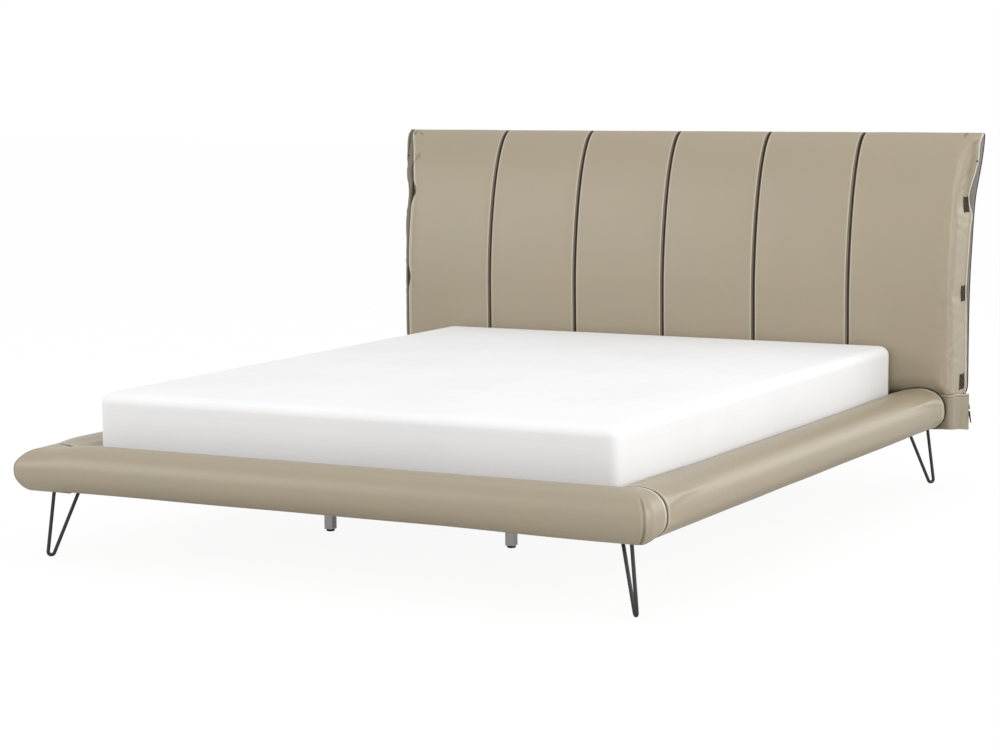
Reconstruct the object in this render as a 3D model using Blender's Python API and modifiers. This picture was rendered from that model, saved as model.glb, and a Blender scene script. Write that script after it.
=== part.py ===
"""Faux leather bed: padded rolls on hairpin legs, slatted base, laced headboard and mattress.

The foot of the bed points to -Y, the headboard stands at +Y and X = 0 is the plane of symmetry.
The origin is on the floor, under the middle of the whole bed. All lengths are in metres.
"""
import math

import bmesh
import bpy
from mathutils import Vector

# Clearance that touching pieces keep, how far a cutter runs past what it cuts, and the welding distance
GAP = 0.0003
CUT_OVERRUN = 0.004
WELD_DISTANCE = 0.00001

# Mattress
MATTRESS_WIDTH = 1.600
MATTRESS_LENGTH = 2.000
MATTRESS_THICKNESS = 0.200
MATTRESS_CROWN = 0.014
MATTRESS_CORNER_RADIUS = 0.036
MATTRESS_EDGE_RADIUS = 0.030
MATTRESS_WAIST = 0.006
MATTRESS_SINK = 0.070
MATTRESS_SIDE_CLEARANCE = 0.004
MATTRESS_FOOT_CLEARANCE = 0.053
MATTRESS_HEAD_CLEARANCE = 0.005

# Padded rolls round the base
ROLL_GROUND_CLEARANCE = 0.188
ROLL_HEIGHT = 0.132
ROLL_FLATTENING = 0.008
SIDE_ROLL_WIDTH = 0.167
SIDE_ROLL_RIDGE = 0.0835
FOOT_ROLL_DEPTH = 0.127
FOOT_ROLL_RIDGE = 0.080
ROLL_INNER_REACH = 0.035
ROLL_CORNER_RADIUS = 0.030
ROLL_END_CLEARANCE = 0.006

# Timber frame
BEAM_HEIGHT = 0.102
BEAM_THICKNESS = 0.055
FOOT_BEAM_OVERHANG = 0.020
HEAD_BEAM_THICKNESS = 0.040
HEAD_BEAM_SETBACK = 0.025
CLEAT_WIDTH = 0.030
CLEAT_HEIGHT = 0.022
CLEAT_END_CLEARANCE = 0.060

# Slats and the steel that carries them
SLAT_COUNT = 12
SLAT_WIDTH = 0.070
SLAT_THICKNESS = 0.012
SLAT_EDGE = 0.002
SLAT_END_CLEARANCE = 0.005
SLAT_END_MARGIN = 0.040
LEDGE_WIDTH = 0.030
LEDGE_WALL = 0.0025
LEDGE_END_MARGIN = 0.005
TUBE_SIDE = 0.025
TUBE_WALL = 0.0015
SUPPORT_SPACING = 0.580
SUPPORT_LEG_INSET = 0.391
SUPPORT_LEG_GROUND_CLEARANCE = 0.0445
FOOT_STUD_RADIUS = 0.005
FOOT_STUD_LENGTH = 0.058
FOOT_DISC_RADIUS = 0.012
FOOT_DISC_HEIGHT = 0.006
FOOT_BORE_CLEARANCE = 0.0004
FOOT_BORE_END_CLEARANCE = 0.004

# Hairpin legs
ROD_RADIUS = 0.005
ROD_BEND_RADIUS = 0.009
OUTER_ROD_LEAN = 0.0157
INNER_ROD_LEAN = 0.0690
LEG_LEAN = 0.0085
LEG_PLATE_SIDE = 0.080
LEG_PLATE_THICKNESS = 0.004
LEG_PLATE_CORNER = 0.010
LEG_PLATE_SCREW_RADIUS = 0.0025
LEG_PLATE_SCREW_INSET = 0.012
LEG_STANDING_FLAT = 0.0005
LEG_INSET_SIDE = 0.0835
LEG_INSET_FOOT = 0.080
LEG_INSET_HEAD = 0.048

# Corner brackets
BRACKET_SIDE = 0.045
BRACKET_HEIGHT = 0.066
BRACKET_LOW_HEIGHT = 0.028
BRACKET_WALL = 0.003

# Headboard
HEADBOARD_TOP = 1.118
HEADBOARD_OVERHANG = 0.021
CUSHION_BOTTOM = 0.300
CUSHION_FOAM = 0.100
CUSHION_BELLY_HEIGHT = 0.600
CUSHION_LOWER_DRAW = 0.004
CUSHION_BOTTOM_RADIUS = 0.028
CUSHION_SIDE_RADIUS = 0.030
CUSHION_SIDE_DRAW = 0.026
CUSHION_SEAM_COUNT = 5
END_PANEL_ALLOWANCE = 0.020
CUSHION_CHANNEL_DEPTH = 0.007
CUSHION_CHANNEL_FLOOR = 0.014
EAR_FLARE = 0.044
EAR_HEIGHT = 0.567
PANEL_THICKNESS = 0.018
PANEL_SIDE_SETBACK = 0.037
PANEL_TOP_SETBACK = 0.085
PANEL_BOTTOM_SETBACK = 0.030
POST_WIDTH = 0.096
POST_THICKNESS = 0.036
COVER_THICKNESS = 0.003
COVER_FLANGE = 0.042
COVER_TOP_SETBACK = 0.002
SKIRT_THICKNESS = 0.003
SKIRT_HEM_HEIGHT = 0.190
SKIRT_FRONT_FLAP = 0.112
SKIRT_CORNER_RADIUS = 0.016
SKIRT_FOLD_DEPTH = 0.003
SKIRT_FOLD_COUNT = 5

# Laces
LACE_WIDTH = 0.010
LACE_THICKNESS = 0.0025
TIE_LENGTH = 0.052
TIE_SPREAD = 0.042
TIE_STRAP_WIDTH = 0.010
TIE_THICKNESS = 0.003
TIE_HEIGHTS = (0.329, 0.609, 0.889)

# Shape powers of the soft sections, and how finely they are divided
ROLL_POWER_SHARE = 2.3
CUSHION_TOP_POWER_SHARE = 1.75
BELLY_SHARES = (0.33, 0.67, 1.0)
EAR_SHARES = (0.0, 0.2, 0.4, 0.6, 0.8, 1.0)
PANEL_POWER_SHARE = 2.5
PANEL_STATION_SHARES = (0.0, 0.06, 0.2, 0.5, 0.8, 0.94, 1.0)
SKIRT_DROP_SHARES = (0.0, 0.35, 0.7, 1.0)
MATTRESS_SIDE_SHARES = (0.25, 0.5, 0.75)
MATTRESS_TOP_SHARES = (0.12, 0.3, 0.55, 0.9)
ARC_STEPS = 7
TOP_STEPS = 9
CORNER_STEPS = 4
PLATE_CORNER_STEPS = 3
FLAP_STEPS = 6
RUN_STEPS = 8
ROUND_SIDES = 24
HOLE_SIDES = 12
ROD_BEVEL_RESOLUTION = 3

# Plan, from the foot end to the head end
BED_LENGTH = (FOOT_ROLL_DEPTH + MATTRESS_FOOT_CLEARANCE + MATTRESS_LENGTH + MATTRESS_HEAD_CLEARANCE
              + CUSHION_FOAM + PANEL_THICKNESS + POST_THICKNESS + COVER_THICKNESS + 3 * GAP)
FRONT_Y = -BED_LENGTH / 2
FOOT_BACK_Y = FRONT_Y + FOOT_ROLL_DEPTH
MATTRESS_FRONT_Y = FOOT_BACK_Y + MATTRESS_FOOT_CLEARANCE
MATTRESS_BACK_Y = MATTRESS_FRONT_Y + MATTRESS_LENGTH
CUSHION_FRONT_Y = MATTRESS_BACK_Y + MATTRESS_HEAD_CLEARANCE
CUSHION_BACK_Y = CUSHION_FRONT_Y + CUSHION_FOAM
PANEL_Y = CUSHION_BACK_Y + GAP
POST_Y = PANEL_Y + PANEL_THICKNESS + GAP
POST_BACK_Y = POST_Y + POST_THICKNESS
COVER_Y = POST_BACK_Y + GAP
SKIRT_LINE_Y = CUSHION_FRONT_Y + CUSHION_LOWER_DRAW + CUSHION_BOTTOM_RADIUS
HEAD_BEAM_Y = CUSHION_FRONT_Y + HEAD_BEAM_SETBACK

# Heights
ROLL_TOP = ROLL_GROUND_CLEARANCE + ROLL_HEIGHT
ROLL_HALF_HEIGHT = (ROLL_HEIGHT + ROLL_FLATTENING) / 2
ROLL_CENTRE_Z = ROLL_TOP - ROLL_HALF_HEIGHT
BEAM_TOP = ROLL_GROUND_CLEARANCE + BEAM_HEIGHT
MATTRESS_BASE = ROLL_TOP - MATTRESS_SINK
SLAT_TOP = MATTRESS_BASE - GAP
SLAT_BOTTOM = SLAT_TOP - SLAT_THICKNESS
STEEL_TOP = SLAT_BOTTOM - GAP
RAIL_BOTTOM = STEEL_TOP - TUBE_SIDE
PANEL_TOP = HEADBOARD_TOP - PANEL_TOP_SETBACK
PANEL_BOTTOM = CUSHION_BOTTOM + PANEL_BOTTOM_SETBACK

# Half widths
INNER_X = MATTRESS_WIDTH / 2 + MATTRESS_SIDE_CLEARANCE
RIDGE_X = INNER_X + SIDE_ROLL_WIDTH - SIDE_ROLL_RIDGE
BEAM_OUTER_X = INNER_X + BEAM_THICKNESS
FOOT_BEAM_HALF = BEAM_OUTER_X + FOOT_BEAM_OVERHANG
CUSHION_HALF_WIDTH = INNER_X + SIDE_ROLL_WIDTH + HEADBOARD_OVERHANG
CUSHION_SEAM_SPACING = 2 * (CUSHION_HALF_WIDTH - END_PANEL_ALLOWANCE) / (CUSHION_SEAM_COUNT + 1)

# Signs of X and Y at the four corners, counterclockwise
CORNER_SIGNS = ((1.0, 1.0), (-1.0, 1.0), (-1.0, -1.0), (1.0, -1.0))

COLLECTION = "faux_leather_bed"
CUTTERS = "cutters"


def clear_scene():
    """Remove every object and make the two collections."""
    for item in list(bpy.data.objects):
        bpy.data.objects.remove(item, do_unlink=True)
    for name in (COLLECTION, CUTTERS):
        found = bpy.data.collections.get(name) or bpy.data.collections.new(name)
        if found.name not in bpy.context.scene.collection.children:
            bpy.context.scene.collection.children.link(found)


def make_material(name, colour, roughness, metallic=0.0):
    """A plain Principled material."""
    made = bpy.data.materials.new(name)
    made.use_nodes = True
    shader = made.node_tree.nodes["Principled BSDF"]
    shader.inputs["Base Color"].default_value = (*colour, 1.0)
    shader.inputs["Roughness"].default_value = roughness
    shader.inputs["Metallic"].default_value = metallic
    made.diffuse_color = (*colour, 1.0)
    return made


def add_object(name, mesh, material, location=(0.0, 0.0, 0.0)):
    """Link a mesh to the bed's collection under its node's name."""
    made = bpy.data.objects.new(name, mesh)
    made.location = location
    if not mesh.materials:
        mesh.materials.append(material)
    bpy.data.collections[COLLECTION].objects.link(made)
    return made


def mesh_from(name, bm):
    """Close a bmesh into a mesh with its faces pointing out."""
    bmesh.ops.recalc_face_normals(bm, faces=bm.faces)
    mesh = bpy.data.meshes.new(name)
    bm.to_mesh(mesh)
    bm.free()
    return mesh


def box_bmesh(size):
    """A box of the given size about the origin."""
    bm = bmesh.new()
    bmesh.ops.create_cube(bm, size=1.0)
    bmesh.ops.scale(bm, vec=size, verts=bm.verts)
    return bm


def cylinder_bmesh(radius, low, high, segments):
    """An upright capped cylinder on the Z axis."""
    bm = bmesh.new()
    bmesh.ops.create_cone(bm, cap_ends=True, segments=segments, radius1=radius, radius2=radius,
                          depth=high - low)
    bmesh.ops.translate(bm, vec=(0.0, 0.0, (low + high) / 2), verts=bm.verts)
    return bm


def add_box(name, low, high, material, edge=0.0):
    """A box between two corners, with its edges broken where edge is given."""
    low, high = Vector(low), Vector(high)
    made = add_object(name, mesh_from(name, box_bmesh(high - low)), material, (low + high) / 2)
    if edge:
        rounding = made.modifiers.new("edge", "BEVEL")
        rounding.width = edge
        rounding.segments = 1
    return made


def prism_bmesh(points, travel):
    """Extrude a closed flat outline of points by a vector."""
    bm = bmesh.new()
    face = bm.faces.new([bm.verts.new(point) for point in points])
    grown = bmesh.ops.extrude_face_region(bm, geom=[face])
    moved = [item for item in grown["geom"] if isinstance(item, bmesh.types.BMVert)]
    bmesh.ops.translate(bm, vec=travel, verts=moved)
    return bm


def loft_bmesh(rings):
    """Skin a list of rings with equal counts, and cap the first and the last."""
    bm = bmesh.new()
    rows = [[bm.verts.new(point) for point in ring] for ring in rings]
    for lower, upper in zip(rows, rows[1:]):
        for here, after in zip(range(len(lower)), [*range(1, len(lower)), 0]):
            bm.faces.new((lower[here], lower[after], upper[after], upper[here]))
    bm.faces.new(rows[0])
    bm.faces.new(rows[-1])
    return bm


def sheet_object(name, rows, thickness, material):
    """A sheet of quads through rows of points, thickened to one side by Solidify."""
    bm = bmesh.new()
    grid = [[bm.verts.new(point) for point in row] for row in rows]
    for lower, upper in zip(grid, grid[1:]):
        for here in range(len(lower) - 1):
            bm.faces.new((lower[here], lower[here + 1], upper[here + 1], upper[here]))
    mesh = bpy.data.meshes.new(name)
    bm.to_mesh(mesh)
    bm.free()
    made = add_object(name, mesh, material)
    wall = made.modifiers.new("wall", "SOLIDIFY")
    wall.thickness = thickness
    wall.offset = 1.0
    wall.use_even_offset = True
    return made


def turned_object(name, profile, sides_count, material, location):
    """Turn a profile of (radius, height) points, listed from its top down its outer side, about Z."""
    bm = bmesh.new()
    verts = [bm.verts.new((radius, 0.0, height)) for radius, height in profile]
    for upper, lower in zip(verts, verts[1:]):
        bm.edges.new((upper, lower))
    mesh = bpy.data.meshes.new(name)
    bm.to_mesh(mesh)
    bm.free()
    made = add_object(name, mesh, material, location)
    turning = made.modifiers.new("turning", "SCREW")
    turning.steps = sides_count
    turning.render_steps = sides_count
    turning.use_merge_vertices = True
    turning.merge_threshold = WELD_DISTANCE
    return made


def apply_boolean(target, cutter, operation):
    """Cut or join a mesh object with another, which stays as a hidden guide."""
    for owner in list(cutter.users_collection):
        owner.objects.unlink(cutter)
    bpy.data.collections[CUTTERS].objects.link(cutter)
    cutter.hide_render = True
    cutter.display_type = "WIRE"
    step = target.modifiers.new(operation.lower(), "BOOLEAN")
    step.operation = operation
    step.solver = "EXACT"
    step.object = cutter


def superellipse(share, power):
    """Height share of a superellipse at a share of its half width."""
    return (1.0 - min(1.0, abs(share)) ** power) ** (1.0 / power)


def arc(centre, radius, start, end, steps):
    """Points on an arc, angles in degrees."""
    turns = [math.radians(start + (end - start) * step / steps) for step in range(steps + 1)]
    return [(centre[0] + radius * math.cos(turn), centre[1] + radius * math.sin(turn)) for turn in turns]


def mirror_rows(rows):
    """The same points on the other side of the plane of symmetry."""
    return [[(-x, y, z) for x, y, z in row] for row in rows]


def sides():
    """The two sides of the bed, with the sign of their X."""
    return (("left", -1.0), ("right", 1.0))


# Padded rolls


def roll_arc(half_width, clip, steps):
    """Upper arc of a roll from its ridge out to where it is clipped, as (across, height)."""
    end = math.acos((clip / half_width) ** (ROLL_POWER_SHARE / 2)) if clip < half_width else 0.0
    turns = [math.pi / 2 + (end - math.pi / 2) * step / steps for step in range(1, steps + 1)]
    power = 2.0 / ROLL_POWER_SHARE
    return [(0.0, ROLL_HALF_HEIGHT)] + [(half_width * math.cos(turn) ** power,
                                         ROLL_HALF_HEIGHT * math.sin(turn) ** power) for turn in turns]


def side_roll_outline():
    """Section of the right side roll in X and Z, notched for its beam."""
    inner_reach = RIDGE_X - INNER_X
    inner = roll_arc(inner_reach + ROLL_INNER_REACH, inner_reach, ARC_STEPS)
    outer = roll_arc(SIDE_ROLL_RIDGE, SIDE_ROLL_RIDGE, ARC_STEPS)
    drop = ROLL_CENTRE_Z - ROLL_GROUND_CLEARANCE
    flat_reach = SIDE_ROLL_RIDGE * superellipse(drop / ROLL_HALF_HEIGHT, ROLL_POWER_SHARE)
    upper = [(RIDGE_X + across, ROLL_CENTRE_Z + up) for across, up in outer]
    lower = [(RIDGE_X + across, ROLL_CENTRE_Z - up) for across, up in reversed(outer[1:-1]) if up < drop]
    lower.append((RIDGE_X + flat_reach, ROLL_GROUND_CLEARANCE))
    notch = [(BEAM_OUTER_X + GAP, ROLL_GROUND_CLEARANCE), (BEAM_OUTER_X + GAP, BEAM_TOP + GAP),
             (INNER_X, BEAM_TOP + GAP)]
    back = [(RIDGE_X - across, ROLL_CENTRE_Z + up) for across, up in reversed(inner[1:])]
    return upper + lower + notch + back


def foot_roll_ring(height):
    """Plan outline of the foot roll at a height, as points."""
    share = superellipse((height - ROLL_CENTRE_Z) / ROLL_HALF_HEIGHT, ROLL_POWER_SHARE)
    ridge_y = FRONT_Y + FOOT_ROLL_RIDGE
    front = ridge_y - FOOT_ROLL_RIDGE * share
    behind = FOOT_ROLL_DEPTH - FOOT_ROLL_RIDGE
    back = ridge_y + min(behind, (behind + ROLL_INNER_REACH) * share)
    side = RIDGE_X + SIDE_ROLL_RIDGE * share
    radius = ROLL_CORNER_RADIUS * share
    corner = arc((side - radius, front + radius), radius, -90.0, 0.0, CORNER_STEPS)
    right = [(x, y, height) for x, y in corner] + [(side, back, height)]
    left = [(-x, y, z) for x, y, z in reversed(right)]
    return right + left


def roll_heights():
    """Heights of the foot roll's rings, from its flat underside up to just below its top."""
    count = 2 * ARC_STEPS
    drop_share = (ROLL_CENTRE_Z - ROLL_GROUND_CLEARANCE) / ROLL_HALF_HEIGHT
    start = -math.asin(drop_share ** (ROLL_POWER_SHARE / 2))
    end = math.pi / 2 * (1.0 - 1.0 / count)
    heights = []
    for step in range(count + 1):
        turn = start + (end - start) * step / count
        rise = ROLL_HALF_HEIGHT * abs(math.sin(turn)) ** (2 / ROLL_POWER_SHARE)
        heights.append(ROLL_CENTRE_Z + math.copysign(rise, turn))
    return heights


def build_rolls(leather):
    """The foot roll and the two side rolls."""
    rings = [foot_roll_ring(height) for height in roll_heights()]
    foot = add_object("foot_bolster", mesh_from("foot_bolster", loft_bmesh(rings)), leather)
    half = FOOT_BEAM_HALF + GAP
    space = add_box("foot_beam_space",
                    (-half, FOOT_BACK_Y - BEAM_THICKNESS - GAP, ROLL_GROUND_CLEARANCE - CUT_OVERRUN),
                    (half, FOOT_BACK_Y + CUT_OVERRUN, BEAM_TOP + GAP), leather)
    apply_boolean(foot, space, "DIFFERENCE")
    start = FOOT_BACK_Y + GAP
    end = CUSHION_FRONT_Y - ROLL_END_CLEARANCE
    for side, sign in sides():
        name = "side_bolster_" + side
        points = [(sign * across, start, up) for across, up in side_roll_outline()]
        add_object(name, mesh_from(name, prism_bmesh(points, (0.0, end - start, 0.0))), leather)


# Timber frame


def build_timber(timber):
    """Beams inside the rolls, the head beam and the cleats."""
    add_box("foot_beam", (-FOOT_BEAM_HALF, FOOT_BACK_Y - BEAM_THICKNESS, ROLL_GROUND_CLEARANCE),
            (FOOT_BEAM_HALF, FOOT_BACK_Y, BEAM_TOP), timber)
    for side, sign in sides():
        near, far = sorted((sign * INNER_X, sign * BEAM_OUTER_X))
        add_box("side_beam_" + side, (near, FOOT_BACK_Y + GAP, ROLL_GROUND_CLEARANCE),
                (far, POST_Y - GAP, BEAM_TOP), timber)
    inner = INNER_X - GAP
    add_box("head_beam", (-inner, HEAD_BEAM_Y, ROLL_GROUND_CLEARANCE),
            (inner, HEAD_BEAM_Y + HEAD_BEAM_THICKNESS, BEAM_TOP), timber)
    reach = INNER_X - CLEAT_END_CLEARANCE
    top = RAIL_BOTTOM - GAP
    add_box("foot_cleat", (-reach, FOOT_BACK_Y + GAP, top - CLEAT_HEIGHT),
            (reach, FOOT_BACK_Y + GAP + CLEAT_WIDTH, top), timber)
    add_box("head_cleat", (-reach, HEAD_BEAM_Y - GAP - CLEAT_WIDTH, top - CLEAT_HEIGHT),
            (reach, HEAD_BEAM_Y - GAP, top), timber)


def build_slats(birch):
    """The wooden slats across the bed."""
    reach = INNER_X - SLAT_END_CLEARANCE
    first = MATTRESS_FRONT_Y + SLAT_END_MARGIN + SLAT_WIDTH / 2
    last = MATTRESS_BACK_Y - SLAT_END_MARGIN - SLAT_WIDTH / 2
    for index in range(SLAT_COUNT):
        middle = first + (last - first) * index / (SLAT_COUNT - 1)
        add_box(f"slat_{index + 1:02d}", (-reach, middle - SLAT_WIDTH / 2, SLAT_BOTTOM),
                (reach, middle + SLAT_WIDTH / 2, SLAT_TOP), birch, SLAT_EDGE)


# Steel of the base


def angle_outline(leg, wall):
    """Section of a steel angle with its corner at the origin, both legs running the negative way."""
    return [(0.0, 0.0), (0.0, -leg), (-wall, -leg), (-wall, -wall), (-leg, -wall), (-leg, 0.0)]


def build_ledges(steel):
    """Steel angles on the side beams, under the slat ends."""
    start = FOOT_BACK_Y + BRACKET_SIDE + LEDGE_END_MARGIN
    end = HEAD_BEAM_Y - BRACKET_SIDE - LEDGE_END_MARGIN
    for side, sign in sides():
        name = "slat_ledge_" + side
        corner_x = INNER_X - GAP
        points = [(sign * (corner_x + across), start, STEEL_TOP + up)
                  for across, up in angle_outline(LEDGE_WIDTH, LEDGE_WALL)]
        add_object(name, mesh_from(name, prism_bmesh(points, (0.0, end - start, 0.0))), steel)


def tube_object(name, size, location, axis, material):
    """An open square tube: a box without its two ends, thickened inward."""
    bm = box_bmesh(size)
    ends = [face for face in bm.faces if abs(face.normal[axis]) == max(map(abs, face.normal))]
    bmesh.ops.delete(bm, geom=ends, context="FACES_ONLY")
    mesh = bpy.data.meshes.new(name)
    bm.to_mesh(mesh)
    bm.free()
    made = add_object(name, mesh, material, location)
    wall = made.modifiers.new("wall", "SOLIDIFY")
    wall.thickness = TUBE_WALL
    wall.offset = -1.0
    wall.use_even_offset = True
    return made


def support_places():
    """Name, X and Y of the four support legs."""
    front = MATTRESS_FRONT_Y + SUPPORT_LEG_INSET
    rear = MATTRESS_BACK_Y - SUPPORT_LEG_INSET
    return [(f"{end}_{side}", sign * SUPPORT_SPACING / 2, y)
            for end, y in (("front", front), ("rear", rear)) for side, sign in sides()]


def build_supports(steel, plastic):
    """Support rails, their legs and the levelling feet."""
    start = FOOT_BACK_Y + 2 * GAP
    end = HEAD_BEAM_Y - GAP
    for side, sign in sides():
        size = (TUBE_SIDE, end - start, TUBE_SIDE)
        place = (sign * SUPPORT_SPACING / 2, (start + end) / 2, STEEL_TOP - TUBE_SIDE / 2)
        tube_object("support_rail_" + side, size, place, 1, steel)
    leg_top = RAIL_BOTTOM - GAP
    leg_bottom = SUPPORT_LEG_GROUND_CLEARANCE
    disc_top = leg_bottom - GAP
    stud_top = disc_top + FOOT_STUD_LENGTH
    bore_top = stud_top + FOOT_BORE_END_CLEARANCE
    disc_bottom = disc_top - FOOT_DISC_HEIGHT
    profile = [(0.0, stud_top), (FOOT_STUD_RADIUS, stud_top), (FOOT_STUD_RADIUS, disc_top),
               (FOOT_DISC_RADIUS, disc_top), (FOOT_DISC_RADIUS, disc_bottom), (0.0, disc_bottom)]
    for place, x, y in support_places():
        leg = add_box("support_leg_" + place, (x - TUBE_SIDE / 2, y - TUBE_SIDE / 2, leg_bottom),
                      (x + TUBE_SIDE / 2, y + TUBE_SIDE / 2, leg_top), steel)
        bore = mesh_from("foot_bore", cylinder_bmesh(
            FOOT_STUD_RADIUS + FOOT_BORE_CLEARANCE, disc_top - CUT_OVERRUN, bore_top, ROUND_SIDES))
        apply_boolean(leg, add_object("foot_bore_" + place, bore, steel, (x, y, 0.0)), "DIFFERENCE")
        turned_object("levelling_foot_" + place, profile, ROUND_SIDES, plastic, (x, y, 0.0))


def build_brackets(steel):
    """Steel angles in the four inner corners of the timber frame."""
    low = STEEL_TOP - BRACKET_LOW_HEIGHT
    for side, sign in sides():
        for end, y, inward, height in (("front", FOOT_BACK_Y + GAP, 1.0, BRACKET_HEIGHT),
                                       ("rear", HEAD_BEAM_Y - GAP, -1.0, BRACKET_LOW_HEIGHT)):
            name = f"corner_bracket_{end}_{side}"
            points = [(sign * (INNER_X - GAP + across), y - inward * along, low)
                      for across, along in angle_outline(BRACKET_SIDE, BRACKET_WALL)]
            add_object(name, mesh_from(name, prism_bmesh(points, (0.0, 0.0, height))), steel)


# Hairpin legs


def hairpin_route():
    """Points of the bent rod as (radial, height), from the outer end round the bend to the inner end."""
    top = ROLL_GROUND_CLEARANCE - GAP - LEG_PLATE_THICKNESS / 2
    bend_z = ROD_RADIUS + ROD_BEND_RADIUS - LEG_STANDING_FLAT
    rise = top - bend_z
    outer_tilt = math.degrees(math.atan2(OUTER_ROD_LEAN, rise))
    inner_tilt = math.degrees(math.atan2(INNER_ROD_LEAN, rise))
    bend = arc((0.0, bend_z), ROD_BEND_RADIUS, 180.0 - outer_tilt, 360.0 - inner_tilt, 2 * CORNER_STEPS)
    outer_end = (bend[0][0] + OUTER_ROD_LEAN, top)
    inner_end = (bend[-1][0] + INNER_ROD_LEAN, top)
    return [outer_end, *bend, inner_end]


def rod_object(name, points, material):
    """A round rod through the points, made a closed mesh."""
    curve = bpy.data.curves.new(name, "CURVE")
    curve.dimensions = "3D"
    curve.bevel_depth = ROD_RADIUS
    curve.bevel_resolution = ROD_BEVEL_RESOLUTION
    curve.use_fill_caps = True
    spline = curve.splines.new("POLY")
    spline.points.add(len(points) - 1)
    for point, place in zip(spline.points, points):
        point.co = (*place, 1.0)
    holder = bpy.data.objects.new(name + "_route", curve)
    bpy.data.collections[CUTTERS].objects.link(holder)
    evaluated = holder.evaluated_get(bpy.context.evaluated_depsgraph_get())
    mesh = bpy.data.meshes.new_from_object(evaluated)
    bpy.data.objects.remove(holder, do_unlink=True)
    bm = bmesh.new()
    bm.from_mesh(mesh)
    bmesh.ops.remove_doubles(bm, verts=bm.verts, dist=WELD_DISTANCE)
    floor = bmesh.ops.bisect_plane(bm, geom=[*bm.verts, *bm.edges, *bm.faces], plane_co=(0.0, 0.0, 0.0),
                                   plane_no=(0.0, 0.0, 1.0), clear_inner=True)
    rim = [item for item in floor["geom_cut"] if isinstance(item, bmesh.types.BMEdge)]
    bmesh.ops.contextual_create(bm, geom=rim)
    return add_object(name, mesh_from(name, bm), material)


def leg_plate(name, centre, material):
    """Screw plate of a leg, with rounded corners, its upper face at the centre given."""
    bm = box_bmesh((LEG_PLATE_SIDE, LEG_PLATE_SIDE, LEG_PLATE_THICKNESS))
    upright = [edge for edge in bm.edges if edge.verts[0].co.xy == edge.verts[1].co.xy]
    bmesh.ops.bevel(bm, geom=upright, offset=LEG_PLATE_CORNER, segments=PLATE_CORNER_STEPS, profile=0.5,
                    affect="EDGES", material=-1)
    bmesh.ops.translate(bm, vec=(0.0, 0.0, -LEG_PLATE_THICKNESS / 2), verts=bm.verts)
    return add_object(name, mesh_from(name, bm), material, centre)


def build_legs(black):
    """The four hairpin legs: bent rod welded to a screw plate."""
    x = INNER_X + SIDE_ROLL_WIDTH - LEG_INSET_SIDE
    front = FRONT_Y + LEG_INSET_FOOT
    rear = POST_BACK_Y - LEG_INSET_HEAD
    diagonal = math.sqrt(0.5)
    plate_top = ROLL_GROUND_CLEARANCE - GAP
    screws = LEG_PLATE_SIDE / 2 - LEG_PLATE_SCREW_INSET
    for end, y, inward in (("front", front, 1.0), ("rear", rear, -1.0)):
        for side, sign in sides():
            name = f"hairpin_leg_{end}_{side}"
            route = hairpin_route()
            points = [(sign * (x - radial * diagonal - LEG_LEAN * height / plate_top),
                       y + inward * radial * diagonal, height) for radial, height in route]
            leg = rod_object(name, points, black)
            middle = (route[0][0] + route[-1][0]) / 2 * diagonal
            centre = (sign * (x - middle - LEG_LEAN), y + inward * middle, plate_top)
            plate = leg_plate(name + "_plate", centre, black)
            apply_boolean(leg, plate, "UNION")
            for index, (across, along) in enumerate(CORNER_SIGNS):
                hole = mesh_from("screw_hole", cylinder_bmesh(
                    LEG_PLATE_SCREW_RADIUS, plate_top - LEG_PLATE_THICKNESS - CUT_OVERRUN,
                    plate_top + CUT_OVERRUN, HOLE_SIDES))
                cutter = add_object(f"{name}_hole_{index + 1}", hole, black,
                                    (centre[0] + across * screws, centre[1] + along * screws, 0.0))
                apply_boolean(leg, cutter, "DIFFERENCE")


# Headboard


def cushion_section(inset):
    """Closed section of the cushion in Y and Z, its soft faces drawn in by inset."""
    radius = CUSHION_BOTTOM_RADIUS
    small = radius - inset
    points = arc((SKIRT_LINE_Y, CUSHION_BOTTOM + small), small, -90.0, -180.0, CORNER_STEPS)
    rise = CUSHION_BELLY_HEIGHT - CUSHION_BOTTOM - radius
    for share in BELLY_SHARES:
        draw = CUSHION_LOWER_DRAW * (1.0 - share) ** 2
        points.append((CUSHION_FRONT_Y + draw + inset, CUSHION_BOTTOM + radius + rise * share))
    depth = POST_BACK_Y - CUSHION_FRONT_Y
    height = HEADBOARD_TOP - CUSHION_BELLY_HEIGHT
    for step in range(1, TOP_STEPS + 1):
        turn = math.pi / 2 * step / TOP_STEPS
        y = CUSHION_FRONT_Y + depth - (depth - inset) * math.cos(turn)
        z = CUSHION_BELLY_HEIGHT + (height - inset) * math.sin(turn) ** (2 / CUSHION_TOP_POWER_SHARE)
        points.append((y, z))
    points.append((POST_BACK_Y, PANEL_TOP + GAP))
    points.append((CUSHION_BACK_Y, PANEL_TOP + GAP))
    points.append((CUSHION_BACK_Y, CUSHION_BOTTOM))
    return points


def seam_places():
    """X of the seams, from left to right."""
    middle = (CUSHION_SEAM_COUNT - 1) / 2
    return [CUSHION_SEAM_SPACING * (index - middle) for index in range(CUSHION_SEAM_COUNT)]


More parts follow.
